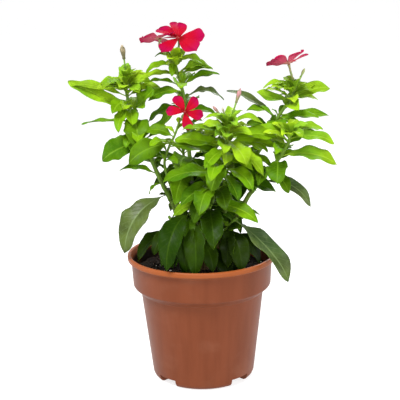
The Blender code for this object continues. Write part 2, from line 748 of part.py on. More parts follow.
def pot(parts, cutters):
    """The pot, with gaps cut between its feet and drain holes through its floor."""
    body = turned("pot", pot_profile(), POT_SEGMENTS, parts, POT_BROWN)
    for number in range(FOOT_COUNT):
        angle = math.radians(FOOT_TURN) + math.tau * (number + 0.5) / FOOT_COUNT
        bpy.ops.mesh.primitive_cube_add(size=1.0)
        gap = bpy.context.object
        gap.scale = (FOOT_GAP_LENGTH * MM, FOOT_GAP_WIDTH * MM, 2 * FOOT_HEIGHT * MM)
        gap.location = (FOOT_RADIUS * math.cos(angle) * MM, FOOT_RADIUS * math.sin(angle) * MM, 0)
        gap.rotation_euler = (0, 0, angle)
        drain_x, drain_y = DRAIN_CIRCLE * math.cos(angle), DRAIN_CIRCLE * math.sin(angle)
        bpy.ops.mesh.primitive_cylinder_add(vertices=10, radius=DRAIN_RADIUS * MM, depth=2 * FOOT_HEIGHT * MM)
        drain = bpy.context.object
        drain.location = (drain_x * MM, drain_y * MM, FOOT_HEIGHT * MM)
        for cutter, label in ((gap, "foot_gap"), (drain, "drain")):
            cutter.name = f"{label}_{number + 1}"
            for home in list(cutter.users_collection):
                home.objects.unlink(cutter)
            cutters.objects.link(cutter)
            cutter.hide_render = True
            cutter.display_type = "WIRE"
            cut = body.modifiers.new(cutter.name, "BOOLEAN")
            cut.operation = "DIFFERENCE"
            cut.solver = "EXACT"
            cut.object = cutter
    return body


def inner_radius(height):
    """The pot's inner radius at a height, from its profile's inner side."""
    inner = pot_profile()[INNER_WALL]
    for (r0, z0), (r1, z1) in zip(inner, inner[1:]):
        if z0 <= height <= z1:
            return r0 + (r1 - r0) * (height - z0) / (z1 - z0)
    return inner[-1][0]


def compost(parts):
    """The filled pot's compost, a little lower at the wall."""
    edge = SOIL_LEVEL - SOIL_EDGE_DROP
    inner = [point for point in pot_profile()[INNER_WALL] if point[1] < edge]
    wall = [(radius - WALL_CLEARANCE, height) for radius, height in inner]
    wall[0] = (wall[0][0], inner[0][1] + GAP)
    profile = [(0.0, SOIL_LEVEL), (SOIL_FLAT_RADIUS, SOIL_LEVEL), (inner_radius(edge) - 6.0, edge + 0.4)]
    profile.append((inner_radius(edge) - WALL_CLEARANCE, edge))
    profile += list(reversed(wall))
    profile.append((0.0, wall[0][1]))
    return turned("compost", profile, SOIL_SEGMENTS, parts, COMPOST_BROWN)


# The plant


def main_stem_mesh(swell=0.0):
    """The main stem, or with a swell the space that nothing else may enter."""
    path = smooth_path(STEM_PATH, 3)
    path[1].xy = path[0].xy  # upright at the ground, so that its cut there is level
    path[-1] = path[-1] + (path[-1] - path[-2]).normalized() * swell
    return limb_mesh("main_stem", path, [radius + swell for radius in STEM_RADII], LIMB_SIDES)


def cut_clear(name, mesh, parts):
    """A limb less the clearance round the main stem that it grows from."""
    body = add_object(name, mesh, parts)
    cutter = add_object("clearance", main_stem_mesh(GAP), parts)
    cut = body.modifiers.new("clear", "BOOLEAN")
    cut.operation = "DIFFERENCE"
    cut.solver = "EXACT"
    cut.object = cutter
    cut_mesh = evaluated_mesh(body, name)
    bpy.data.objects.remove(cutter, do_unlink=True)
    bpy.data.objects.remove(body, do_unlink=True)
    keep_largest_shell(cut_mesh)
    return cut_mesh


def bough(shoot, parts):
    """The limb from the main stem to just short of the foot of a shoot."""
    height, bends = FORKS[shoot.name]
    start, _ = at_height(smooth_path(STEM_PATH, 3), height)
    onward = smooth_path(shoot.path)
    heading = (onward[1] - onward[0]).normalized()
    path = smooth_path([start, *bends, onward[0] - heading * BOUGH_END_STRAIGHT])
    path.append(onward[0] - heading * GAP)
    name = "bough_" + shoot.name
    mesh = limb_mesh(name, path, (BOUGH_FOOT_RADIUS, shoot.radii[0]), LIMB_SIDES)
    return add_object(name, cut_clear(name, mesh, parts), parts, STEM_GREEN)


def shoot_stem(shoot, parts):
    """The path of a shoot's own stem and its mesh, which starts clear of what carries it."""
    height, bends = FORKS[shoot.name]
    if bends is not None:
        path = smooth_path(shoot.path)
        return path, limb_mesh("stem", path, shoot.radii, TWIG_SIDES)
    start, _ = at_height(smooth_path(STEM_PATH, 3), height)
    path = smooth_path([start, *shoot.path])
    return path, cut_clear("stem", limb_mesh("stem", path, shoot.radii, TWIG_SIDES), parts)


def plant(parts, standing):
    """The limbs and then the foliage masses, in the order of SHOOTS."""
    woody = [add_object("main_stem", main_stem_mesh(), parts, STEM_GREEN)]
    woody += [bough(shoot, parts) for shoot in SHOOTS if FORKS[shoot.name][1] is not None]
    taken = [tree_of([in_millimetres(body.data)]) for body in woody]
    taken += [tree_of([in_millimetres(evaluated_mesh(body, "test"))]) for body in standing]
    stems = {shoot.name: shoot_stem(shoot, parts) for shoot in SHOOTS}
    blossom = {}
    for shoot in SHOOTS:
        path, _ = stems[shoot.name]
        blossom[shoot.name] = [bud_mesh(bud, path) for bud in shoot.buds]
        for flower in shoot.flowers:
            blossom[shoot.name] += flower_meshes(flower, path)
    reserved = {
        name: tree_of([in_millimetres(mesh) for mesh in (stem, *blossom[name])])
        for name, (_, stem) in stems.items()
    }
    for shoot in SHOOTS:
        path, stem = stems[shoot.name]
        others = [tree for name, tree in reserved.items() if name != shoot.name]
        blades, skipped = placed_blades(shoot, path, shoot.radii[1], taken + others)
        meshes = [closed_outward("leaf", *one) for one in blades] + blossom[shoot.name]
        body, scraps = fuse("foliage_" + shoot.name, stem, meshes, parts, LEAF_GREEN)
        taken.append(tree_of([in_millimetres(body.data)]))
        print(f"{body.name}: {len(blades)} leaves, {skipped} skipped, {scraps} scraps")


def main():
    clear_scene()
    parts = new_collection("potted_periwinkle")
    cutters = new_collection("cutters")
    plant(parts, (pot(parts, cutters), compost(parts)))
    for made in parts.objects:
        made.data.shade_smooth()
        made.data.set_sharp_from_angle(angle=math.radians(SMOOTH_BELOW))


main()
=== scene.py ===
"""The looks of a Madagascar periwinkle in flower, in a round plastic nursery pot.

Leaves, twigs and blossom grow by the same rule as the solids and are carried finer: a leaf grows where
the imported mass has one.  Lengths are in millimetres until a mesh is made, and angles in degrees.
"""

import math
import random
from collections import namedtuple

import bmesh
import bpy
from mathutils import Matrix, Vector, noise
from mathutils.kdtree import KDTree


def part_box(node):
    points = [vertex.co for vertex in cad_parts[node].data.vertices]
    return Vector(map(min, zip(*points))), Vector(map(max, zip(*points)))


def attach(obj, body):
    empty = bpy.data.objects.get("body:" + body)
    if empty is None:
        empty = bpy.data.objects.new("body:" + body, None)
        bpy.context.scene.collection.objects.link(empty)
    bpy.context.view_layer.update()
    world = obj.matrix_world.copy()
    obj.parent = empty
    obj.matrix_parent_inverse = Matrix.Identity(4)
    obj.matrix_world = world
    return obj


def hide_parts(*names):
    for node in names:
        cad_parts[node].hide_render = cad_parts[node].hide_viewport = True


MM = 0.001
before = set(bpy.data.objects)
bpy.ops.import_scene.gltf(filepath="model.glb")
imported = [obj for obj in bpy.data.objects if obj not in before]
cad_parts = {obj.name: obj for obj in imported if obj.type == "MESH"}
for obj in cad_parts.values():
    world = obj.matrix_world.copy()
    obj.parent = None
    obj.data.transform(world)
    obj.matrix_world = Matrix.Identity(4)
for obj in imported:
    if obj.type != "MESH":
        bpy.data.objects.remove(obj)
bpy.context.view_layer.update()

# Pot, as in the solids
POT_HEIGHT = 112.0
RIM_RADIUS = 65.0
LIP_WIDTH = 3.0
LIP_HEIGHT = 5.2
WALL = 1.3
COLLAR_TOP_RADIUS = 61.8
COLLAR_FOOT_RADIUS = 60.6
COLLAR_FOOT = 85.0
SHOULDER_FOOT = 79.2
BODY_TOP_RADIUS = 54.0
BODY_FOOT_RADIUS = 45.2
BODY_FOOT = 4.0
FOOT_RADIUS = 41.4
FOOT_WIDTH = 6.0
FOOT_HEIGHT = 6.8
FOOT_COUNT = 4
FOOT_GAP_WIDTH = 19.2
FOOT_GAP_LENGTH = 24.0
FOOT_TURN = -0.4
FLOOR_THICKNESS = 1.6
CENTRE_HOLE_RADIUS = 6.0
DRAIN_RADIUS = 4.0
DRAIN_CIRCLE = 28.0
POT_ROUNDING = 0.9
POT_SIDES = 160
SOIL_LEVEL = 98.0
SOIL_EDGE_DROP = 1.6
SOIL_RADIUS = 59.6
SOIL_SIDES = 120
CRUMBS = 1500

STEM_PATH = ((1.5, -3.0, 98.3), (1.2, -3.4, 106.0), (2.0, -4.0, 116.0), (3.0, -5.0, 124.0))
STEM_RADII = ((0.0, 6.3), (0.06, 5.5), (0.3, 4.6), (0.66, 4.0), (0.94, 3.7), (1.0, 2.8))
STEM_SUNK = 0.6
STEM_CLEAR = 6.5
BOUGH_FOOT_RADIUS = 2.2
BOUGH_END_STRAIGHT = 4.0
PETIOLE_WIDTH = 1.1
EDGE_LIFT = 0.30
ROOT_DEPTH = 0.9
PETALS = 5

# The camera's place is in metres; it looks along Y, pitched down and rolled a little
CAMERA_PLACE = (0.0, -0.8, 0.347)
CAMERA_PITCH = math.radians(90.0 - 13.26)
CAMERA_ROLL = math.radians(-1.12)
CAMERA = Matrix.Translation(CAMERA_PLACE) @ Matrix.Rotation(CAMERA_PITCH, 4, "X")
CAMERA = CAMERA @ Matrix.Rotation(CAMERA_ROLL, 4, "Z")
FOCAL_PIXELS = 946.0
PICTURE = 400.0  # pixels
SENSOR = 36.0

# A leaf's azimuth is 0 for right, 90 for back, 180 for left and 270 for front
Leaf = namedtuple("Leaf", "height length rise azimuth width arch tilt tone", defaults=(0.34, 0.13, 25, None))
Bud = namedtuple("Bud", "height tip bulge tint", defaults=(1.7, "cream"))
Flower = namedtuple("Flower", "centre facing diameter spin height cup spins slim", defaults=(0.06, None, 1.0))
Shoot = namedtuple(
    "Shoot",
    "name path radii leaves buds flowers fill lengths rosette seed",
    defaults=((), (), (), 0, (40, 16), 0, 1),
)

SHOOTS = (
    Shoot(
        "left",
        ((-26, 4, 158), (-37, 8, 181), (-48.5, 12, 210), (-58, 15, 233), (-62.5, 18, 254), (-61.5, 18, 264)),
        (2.0, 1.2),
        (
            (163, 64, -43, 215, 0.36, 0.17, 30, "dull"), (173, 15, -40, 180, 0.36, 0.13, 25, "deep"),
            (181, 33, 10, 190, 0.3, 0.08, 25, "mid"), (209, 40, -19, 200, 0.52, 0.06, 50, "deep"),
            (211, 38, 42, -25, 0.36, -0.1, 40, "deep"), (231, 34, -40, 280, 0.66, 0.12, 0, "deep"),
            (227, 46, -1, 180, 0.24, 0.02, 8), (236, 60, 25, 172, 0.24, -0.02, 45),
            (236, 30, 40, -30, 0.62, -0.04, 55, "mid"), (248, 50, 13, 175, 0.21, 0.04, 30),
            (248, 30, 14, -5, 0.38, 0.08, 40), (257, 24, 12, -25, 0.46, 0.13, 40, "bright"),
            (250, 24, 10, 300, 0.46, 0.1), (252, 24, 24, 200, 0.5, 0.13, 45),
            (240, 32, -36, 250, 0.3, 0.13, 10, "mid"), (244, 26, -16, 242, 0.5, 0.13, 25, "mid"),
        ),
        buds=(Bud(262, (-64.5, 17, 292), 2.4, "mauve"), Bud(214, (-60, 10, 219), 1.4, "red")),
        fill=5, lengths=(38, 22), rosette=2, seed=3,
    ),
    Shoot(
        "centre_left",
        ((-7, 6, 168), (-9, 9, 200), (-9.5, 11, 222), (-12.5, 11, 248), (-17, 10, 266), (-20, 9, 280)),
        (2.0, 1.1),
        (
            (190, 40, 8, 170, 0.22, 0.1, 20, "deep"), (205, 38, 12, 10),
            (235, 36, -20, 190, 0.38, 0.13, 38, "deep"), (184, 42, -32, 248, 0.4, 0.13, 25, "deep"),
            (174, 36, -12, 185, 0.4, 0.13, 35, "dark"), (234, 26, -8, 10, 0.34, 0.13, 25, "deep"),
            (246, 34, -2, 0, 0.28, 0.19, 25, "dull"), (252, 31, -14, 175, 0.36, 0.12, 35, "mid"),
            (257, 31, 6, 180, 0.22, 0.08, 20, "mid"), (257, 34, 17, 5, 0.26, 0.1, 25, "mid"),
            (267, 32, -5, 188, 0.3, 0.05, 25, "bright"), (267, 29, 12, -8, 0.34, 0.04, 30, "bright"),
            (275, 27, -10, 200, 0.34, 0.1, 30, "mid"), (277, 25, -6, -5, 0.34, 0.2, 30, "bright"),
            (278, 19, 12, 155, 0.36, 0.22, 30, "mid"), (277, 17, -35, 260, 0.4, 0.1, 25, "mid"),
        ),
        buds=(Bud(279, (-24, 8, 295), 1.3),),
        flowers=(
            Flower((-15.8, 3, 297.6), (0.0, -0.55, 0.83), 44.5, 3, 279,
                   spins=(3, 86, 134, 226, 306), slim=0.90),
            Flower((-32, 14, 297), (-0.06, 0.26, 0.95), 37, 28, 278),
        ),
        fill=6, lengths=(42, 24), rosette=1, seed=5,
    ),
    Shoot(
        "centre",
        ((4.5, -11, 148), (9, -15, 160), (15, -19, 176), (22, -22, 196), (22.5, -25, 214), (25, -27, 229)),
        (2.2, 1.3),
        (
            (158, 38, 6, 215, 0.28, 0.1, 30, "bright"), (158, 49, -9, -36, 0.28, 0.12, 25, "mid"),
            (180, 48, -10, -12, 0.38, 0.08, 30, "dark"), (186, 55, 1, 194, 0.28, 0.08, 40, "deep"),
            (195, 33, -32, 242, 0.5, 0.14, 0, "deep"), (172, 34, -16, 282, 0.42, 0.14, 25, "dark"),
            (211, 36, -12, 12, 0.42, 0.13, 45, "mid"), (203, 37, -24, -28, 0.34, 0.14, 30, "bright"),
            (200, 47, 15, 182, 0.26, 0.08, 35, "deep"), (215, 32, -28, 302, 0.56, 0.1, 0),
            (210, 43, 9, 176, 0.32, 0.06, 35, "mid"), (218, 41, -2, 0, 0.32, 0.1, 40, "mid"),
            (220, 39, 11, 184, 0.27, 0.06, 25, "mid"), (228, 28, 0, 5, 0.3, 0.22, 20, "bright"),
            (229, 22, 10, 165, 0.34, 0.18, 25, "bright"), (229, 20, 6, 285, 0.4, 0.14), (231, 16, 40, 30),
            (231, 15, 38, 210), (231.5, 13, 45, 230, 0.36),
        ),
        buds=(
            Bud(229, (34.5, -27, 258), 1.9, "pink"),
            Bud(227, (11.5, -28, 244), 1.3, "pink"),
            Bud(231, (19, -29, 243), 1.0),
        ),
        fill=5, lengths=(44, 26), rosette=2, seed=8,
    ),
    Shoot(
        "right", ((44, -12, 168), (61, -17, 190), (68, -20, 200), (74, -23, 211), (75.5, -24, 221)),
        (2.0, 1.3),
        (
            (177, 47.5, -24, -14, 0.26, 0.19, 30, "dull"), (196, 30, -26, 250, 0.6, 0.12, 0, "deep"),
            (200, 47, -6, -13, 0.32, 0.13, 35, "bright"), (202, 27, 24, 165, 0.34, 0.13, 35),
            (208, 27, 28, 14, 0.44, 0.13, 40, "mid"), (213, 30, 22, 160, 0.34, 0.13, 30, "mid"),
            (215, 37, -5, -4, 0.3, 0.12, 35, "bright"), (219, 30, 4, 20, 0.3, 0.13, 30, "bright"),
            (217, 24, 8, 290, 0.36, 0.18, 25, "bright"),
        ),
        fill=4, lengths=(28, 24), rosette=2, seed=11,
    ),
    Shoot(
        "upper_right",
        ((36, 13, 174), (48, 16, 192), (57, 18, 205), (68, 20, 225), (77, 22, 238), (85, 23, 252)),
        (2.0, 1.2),
        (
            (225, 50, 32, 175, 0.22, 0.07, 20, "dull"), (229, 42, 0, -5, 0.22, 0.03, 25, "mid"),
            (224, 38, 6, -22, 0.28, 0.05, 30), (243, 30, 13, 185, 0.34, -0.06, 40, "bright"),
            (241, 37, 17, 3, 0.38, 0.1, 40), (250, 28, 6, 188, 0.26, 0.2, 20, "bright"),
            (249, 20, 12, 240, 0.42, 0.12, 25, "bright"), (236, 26, 2, 290, 0.5, 0.12),
            (215, 26, 10, 140, 0.44, 0.13, 40, "deep"), (226, 30, 18, 198, 0.32),
        ),
        buds=(Bud(250, (92.5, 23, 268.5), 1.3, "green"), Bud(233, (87.5, 20, 242), 1.3)),
        flowers=(Flower((78.5, 23, 272.5), (-0.22, 0.28, 0.93), 40, 6, 251, cup=0.34),),
        fill=6, lengths=(40, 24), rosette=2, seed=17,
    ),
    Shoot(
        "slender", ((-26, -8, 176), (-30, -10, 193), (-26, -11, 207), (-20.5, -11, 218), (-16.5, -12, 229)),
        (1.3, 0.9),
        (
            (211, 40, -20, 198, 0.46, 0.06, 55, "deep"), (216, 25, 12, 170, 0.5, 0.13, 50, "deep"),
            (216, 24, -6, -20, 0.36, 0.13, 30, "mid"), (196, 20, -4, -30, 0.36, 0.13, 30),
        ),
        flowers=(
            Flower((-11.5, -27, 239.5), (0.05, -0.94, 0.34), 31, -20, 229,
                   spins=(40, -20, -85, 114, 170), slim=0.76),
        ),
        seed=19,
    ),
    Shoot(
        "low_front", ((-1, -13, 116), (-4, -18, 130), (-8, -22, 144), (-9, -25, 156)), (1.8, 1.1),
        (
            (154, 58, -52, 242, 0.34, 0.22, 25, "shade"), (149, 52, -52, 276, 0.36, 0.22, 25, "shade"),
            (146, 34, -28, 200, 0.28, 0.18), (130, 36, -40, 300, 0.4, 0.18),
            (128, 40, -24, 212, 0.36, 0.2, 30), (150, 20, 8, -20, 0.4, 0.14, 25, "deep"),
        ),
        seed=23,
    ),
    Shoot(
        "low_right", ((8, -12, 112), (15, -16, 126), (24, -19, 140), (31, -20, 147)), (1.8, 1.2),
        (
            (145, 69, -41, -31, 0.28, 0.05, 20, "dull"), (138, 42, -46, 292, 0.42, 0.2, 25, "gloom"),
            (130, 40, -30, -20, 0.38, 0.22, 25, "gloom"), (120, 34, -42, 266, 0.42, 0.16, 25, "gloom"),
            (146, 22, 6, 20, 0.4, 0.14, 25, "deep"),
        ),
        seed=29,
    ),
    Shoot(
        "low_left", ((-10, -5, 111), (-17, -6, 124), (-23, -4, 136), (-28, -1, 145)), (1.8, 1.1),
        (
            (140, 34, -42, 230, 0.32, 0.06, 20, "shade"), (128, 42, -28, 190, 0.36, 0.22),
        ),
        fill=2, lengths=(34, 24), seed=31,
    ),
    Shoot(
        "back_left", ((-6, 13, 126), (-9, 26, 150), (-13, 35, 176), (-15, 40, 198)), (2.0, 1.2),
        fill=8, lengths=(38, 22), rosette=1, seed=37,
    ),
    Shoot(
        "back", ((3, 16, 130), (7, 28, 158), (10, 36, 188), (11, 40, 212)), (2.0, 1.2),
        fill=9, lengths=(40, 22), rosette=1, seed=41,
    ),
    Shoot(
        "back_right", ((12, 11, 126), (20, 22, 148), (28, 32, 170), (33, 38, 194)), (2.0, 1.2),
        fill=8, lengths=(38, 22), rosette=1, seed=43,
    ),
    Shoot(
        "low_back", ((2, 8, 107), (0, 20, 120), (-1, 32, 134)), (1.7, 1.1),
        fill=4, lengths=(44, 32), seed=47,
    ),
)

SHOOTS = tuple(shoot._replace(leaves=tuple(Leaf(*row) for row in shoot.leaves)) for shoot in SHOOTS)

# The height at which each shoot leaves the trunk, and its bough's bends: None if no bough leads to it
FORKS = {
    "left": (107.0, ((-14, 1, 129),)),
    "centre_left": (116.0, ((-3.5, 1, 130),)),
    "centre": (124.0, ((3.5, -10.5, 136),)),
    "right": (105.5, ((19, -7, 125), (33, -9, 149))),
    "upper_right": (116.0, ((13, 1, 132), (25, 8, 154))),
    "slender": (114.0, ((-8, -12, 131), (-20, -9, 156))),
    "back_left": (105.0, ((-3.5, 7, 113.5),)),
    "back": (112.0, ((2.5, 5, 120),)),
    "back_right": (104.0, ((8.5, 4.5, 114),)),
    "low_front": (108.0, None),
    "low_right": (104.0, None),
    "low_left": (103.5, None),
    "low_back": (101.5, None),
}

# The rule for leaves that are not listed, as in the solids
RULE_FOOT_CLEAR, RULE_TIP_CLEAR = 6.0, 4.0
RULE_RISE_LOW, RULE_RISE_GAIN, RULE_RISE_POWER = -22.0, 52.0, 1.4
RULE_ARCH_LOW, RULE_ARCH_LOSS = 0.20, 0.08
ROSETTE_DEPTH, ROSETTE_STEP = 5.5, 2.2
ROSETTE_LENGTH, ROSETTE_SHORTER = 23.0, 5.0
ROSETTE_RISE, ROSETTE_STEEPER = 22.0, 17.0
# The turns and lifts that the solids try, in this order, until a leaf has room
TRIES = ((0, 0), (14, 0), (-14, 0), (0, 12), (0, -12), (26, 6), (-26, 6), (38, -8), (-38, -8))
SKY_SHARE = 2  # an unlisted leaf with so many of its six points against the sky is left out
TIP_REACH = 0.2  # how near a packed vertex must be to the tip of a leaf that is there

FINE_STEPS = 8
LIMB_SIDES = 14
LIMB_GRAIN = 0.35
BOUGH_JOINTS, TWIG_JOINTS = 16.0, 13.0  # the distance from joint to joint
TWIG_SIDES = 10

# Leaf outline: how far along, and the half width there as a share of the leaf's
BLADE_WIDTHS = (
    (0.0, 0.0), (0.06, 0.0), (0.11, 0.07), (0.16, 0.24), (0.23, 0.49), (0.31, 0.71), (0.40, 0.87),
    (0.50, 0.97), (0.60, 1.0), (0.70, 0.96), (0.79, 0.85), (0.87, 0.66), (0.935, 0.43), (0.975, 0.22),
    (1.0, 0.03),
)
# For leaves shorter than the length: rows, and columns on one half
BLADE_GRIDS = (
    (16.0, 10, (0.16, 0.60, 1.0)),
    (26.0, 14, (0.09, 0.36, 0.72, 1.0)),
    (99.0, 22, (0.06, 0.17, 0.38, 0.62, 0.84, 1.0)),
)
BLADE_THICKNESS = 0.36
# The midrib: its width as a share of the half width, how far it is sunk above and raised below
RIB_WIDTH, RIB_GROOVE, RIB_DEPTH = 0.12, 0.16, 0.62
VEIN_ROWS, VEIN_SLANT = 11.0, 2.0
CURL_START = 0.72  # the share of the length from which the tip curls down
# Petal outline, as for leaves, but the half width is a share of the petal's length
PETAL_WIDTHS = (
    (0.03, 0.035), (0.10, 0.078), (0.20, 0.135), (0.32, 0.20), (0.45, 0.268), (0.58, 0.325), (0.70, 0.362),
    (0.80, 0.372), (0.88, 0.348), (0.94, 0.29), (0.98, 0.20), (1.0, 0.09),
)
PETAL_ROWS = 20
PETAL_COLUMNS = (0.14, 0.30, 0.48, 0.66, 0.82, 0.93, 1.0)
PETAL_THICKNESS = 0.35
PETAL_OVERLAP = 0.16
TUBE_STRAIGHT = 9.0
EYE_HEIGHTS = (-0.9, 0.1, 0.55, 0.8)
FLOWER_SEPALS, BUD_SEPALS = 3.2, 3.0
BUD_START = 0.58
# Radii along a flower's tube, and along a bud as shares of its bulge
TUBE_RADII = ((0.0, 1.5), (0.05, 1.15), (0.12, 0.95), (0.45, 1.05), (0.62, 0.75), (1.0, 0.85))
BUD_RADII = ((0.0, 0.65), (0.2, 0.62), (0.55, 1.0), (0.72, 0.98), (0.9, 0.5), (1.0, 0.12))

# Colours, linear: blade and vein, and for a bud its foot and its tip
TONES = {
    "young": ((0.190, 0.340, 0.012), (0.27, 0.40, 0.036)),
    "bright": ((0.138, 0.268, 0.008), (0.225, 0.35, 0.026)),
    "mid": ((0.088, 0.200, 0.003), (0.17, 0.30, 0.012)),
    "deep": ((0.048, 0.120, 0.002), (0.11, 0.21, 0.010)),
    "dark": ((0.025, 0.064, 0.0012), (0.055, 0.115, 0.006)),
    # The next two are painted shade: leaf colours darkened for leaves low under the crown
    "shade": ((0.011, 0.029, 0.0006), (0.024, 0.052, 0.003)),
    "gloom": ((0.006, 0.015, 0.0005), (0.014, 0.028, 0.002)),
    # Dull grey-green: partly the leaf's own colour, partly painted sheen
    "dull": ((0.040, 0.066, 0.015), (0.11, 0.155, 0.055)),
}
UNDER_COLOURS = (0.098, 0.200, 0.009), (0.18, 0.28, 0.026)
# Young undersides: paler in their own colour and lightened further, painted light that lifts the shade in the
# rosettes' centres
UNDER_YOUNG_PAINTED_LIGHT_COLOURS = (0.205, 0.360, 0.011), (0.28, 0.43, 0.034)
BUD_COLOURS = (
    ("cream", (0.17, 0.24, 0.06), (0.36, 0.32, 0.24)),
    ("green", (0.12, 0.22, 0.02), (0.26, 0.30, 0.10)),
    ("pink", (0.19, 0.22, 0.06), (0.32, 0.14, 0.15)),
    ("mauve", (0.11, 0.10, 0.035), (0.27, 0.21, 0.12)),
    ("red", (0.10, 0.08, 0.03), (0.11, 0.006, 0.012)),
)
# Name, dark and light colour, roughness, the pattern's scale, and the strength and depth of its relief
SIMPLE_LOOKS = {
    "eye": ("flower_eye", (0.14, 0.001, 0.002), (0.24, 0.004, 0.004), 0.6, 900.0),
    "tube": ("flower_tube", (0.12, 0.19, 0.03), (0.22, 0.18, 0.07), 0.5, 300.0),
    "calyx": ("calyx_green", (0.09, 0.19, 0.012), (0.16, 0.28, 0.03), 0.5, 500.0, 0.3, 0.0003, 0.25),
    "soil": ("compost_dark", (0.003, 0.002, 0.0015), (0.014, 0.008, 0.005), 0.95, 420.0, 0.9, 0.0012, 0.15),
    "crumb": ("compost_crumb", (0.004, 0.0025, 0.0018), (0.026, 0.015, 0.009), 0.9, 900.0, 0.8, 0.0006, 0.15),
    "fibre": ("compost_fibre", (0.05, 0.028, 0.012), (0.11, 0.065, 0.032), 0.85, 900.0),
    "perlite": ("perlite", (0.30, 0.29, 0.27), (0.46, 0.45, 0.42), 0.85, 1200.0, 0.8, 0.0004),
}


# Meshes


class Sheaf:
    """Points, faces, their materials and their map, gathered for one piece."""

    def __init__(self):
        self.points, self.faces, self.kinds, self.maps = [], [], [], []

    def loft(self, rings, kinds, across, along, turned=None):
        """Closed rings joined in a row; across has one map value more than a ring has points.

        From the point numbered turned on, faces start at their second corner, so that both sides of a
        thin blade are split along the same diagonals.
        """
        start, size = len(self.points), len(rings[0])
        if isinstance(kinds, str):
            kinds = [kinds] * size
        for ring in rings:
            self.points += ring
        for row in range(len(rings) - 1):
            for j in range(size):
                k = (j + 1) % size
                a, b = start + row * size + j, start + row * size + k
                face = (a, b, b + size, a + size)
                place = ((across[j], along[row]), (across[j + 1], along[row]),
                         (across[j + 1], along[row + 1]), (across[j], along[row + 1]))
                if turned is not None and j >= turned:
                    face, place = face[1:] + face[:1], place[1:] + place[:1]
                self.faces.append(face)
                self.kinds.append(kinds[j])
                self.maps.append(place)
        for row, order in ((0, range(size - 1, -1, -1)), (len(rings) - 1, range(size))):
            self.faces.append(tuple(start + row * size + j for j in order))
            self.kinds.append(kinds[-1])
            self.maps.append(tuple((across[j], along[row]) for j in order))

    def blade(self, rings, columns, along, above, below):
        """A thin blade from rings that run over its upper side and back under it."""
        share = [(column + 1) / 2 for column in columns]
        kinds = [above] * (len(columns) - 1) + [below] * (len(columns) + 1)
        self.loft(rings, kinds, share + share[::-1] + [0.0], along, turned=len(columns))

    def solid(self, points, faces, kind):
        start = len(self.points)
        self.points += points
        self.faces += [tuple(start + i for i in face) for face in faces]
        self.kinds += [kind] * len(faces)
        self.maps += [((0.5, 0.5),) * len(face) for face in faces]

    def piece(self, name, nodes, materials, slot):
        """The gathered mesh as a piece."""
        mesh = bpy.data.meshes.new(name)
        mesh.from_pydata([tuple(p * MM) for p in self.points], [], self.faces)
        used = sorted(set(self.kinds))
        for kind in used:
            mesh.materials.append(materials[kind])
        mesh.polygons.foreach_set("material_index", [used.index(kind) for kind in self.kinds])
        layer = mesh.uv_layers.new(name="growth")
        layer.uv.foreach_set("vector", [value for face in self.maps for pair in face for value in pair])
        mesh.shade_smooth()
        mesh.update()
        return settled(put(name, mesh), nodes)


def put(name, data):
    """A new object in the scene."""
    made = bpy.data.objects.new(name, data)
    bpy.context.scene.collection.objects.link(made)
    return made


def settled(made, nodes):
    """The object as a piece that rides on the body in place of CAD nodes."""
    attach(made, "root")
    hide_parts(*nodes)
    return made


def round_about(angle, radius=1.0, height=0.0):
    """The point at an angle, in radians, about the Z axis."""
    return Vector((radius * math.cos(angle), radius * math.sin(angle), height))


def length_of(path):
    return sum((b - a).length for a, b in zip(path, path[1:]))


def search_tree(points):
    tree = KDTree(len(points))
    for number, point in enumerate(points):
        tree.insert(point, number)
    tree.balance()
    return tree


def smooth_path(points, steps=2):
    """Points along a Catmull-Rom curve through the given ones."""
    given = [Vector(p) for p in points]
    ends = [2 * given[0] - given[1]] + given + [2 * given[-1] - given[-2]]
    out = []
    for a, b, c, d in zip(ends, ends[1:], ends[2:], ends[3:]):
        for t in (i / steps for i in range(steps)):
            square, cube = (2 * a - 5 * b + 4 * c - d) * t**2, (3 * b - a - 3 * c + d) * t**3
            out.append(0.5 * (2 * b + (c - a) * t + square + cube))
    return out + [given[-1]]


def at_height(path, height):
    """The point at a height on a path, and the path's direction there."""
    for low, high in zip(path, path[1:]):
        if low.z <= height <= high.z:
            share = (height - low.z) / (high.z - low.z)
            return low.lerp(high, share), (high - low).normalized()
    end = path[-1] if height > path[-1].z else path[0]
    return end.copy(), (path[-1] - path[-2]).normalized()


def both_sides(half):
    return (*[-column for column in reversed(half)], 0.0, *half)


def dense(table):
    """A table's smooth curve, as a longer table."""
    return [(p.x, max(p.y, 0.0)) for p in smooth_path([(a, b, 0.0) for a, b in table], 5)]


def stations(count):
    """Shares from 0 to 1, closer together near both ends."""
    even = [i / (count - 1) for i in range(count)]
    return [0.45 * t + 0.55 * (0.5 - 0.5 * math.cos(math.pi * t)) for t in even]


def read_at(table, at):
    """A value read evenly between the pairs of a table."""
    for (a, x), (b, y) in zip(table, table[1:]):
        if at <= b:
            return x + (y - x) * max(at - a, 0.0) / (b - a)
    return table[-1][1]


def limb(sheaf, path, radius_at, sides, kind, rough=0.0):
    """A round limb along a path; rough is the depth of its lengthwise relief."""
    total = length_of(path)
    rings, along, done, side = [], [], 0.0, None
    for i, place in enumerate(path):
        ahead = path[min(i + 1, len(path) - 1)] - path[max(i - 1, 0)]
        if side is None:
            side = ahead.orthogonal().normalized()
        side = (side - ahead.normalized() * side.dot(ahead.normalized())).normalized()
        other = ahead.normalized().cross(side)
        ring = []
        for j in range(sides):
            angle = math.tau * j / sides
            out = side * math.cos(angle) + other * math.sin(angle)
            relief = rough * noise.noise(round_about(angle, 2.2, done * LIMB_GRAIN))
            ring.append(place + out * (radius_at(done / total) * (1 + relief)))
        rings.append(ring)
        along.append(done / total)
        if i < len(path) - 1:
            done += (path[i + 1] - place).length
    sheaf.loft(rings, kind, [j / sides for j in range(sides + 1)], along)


# Leaves

BLADE_SHAPE = dense(BLADE_WIDTHS)
PETAL_SHAPE = dense(PETAL_WIDTHS)


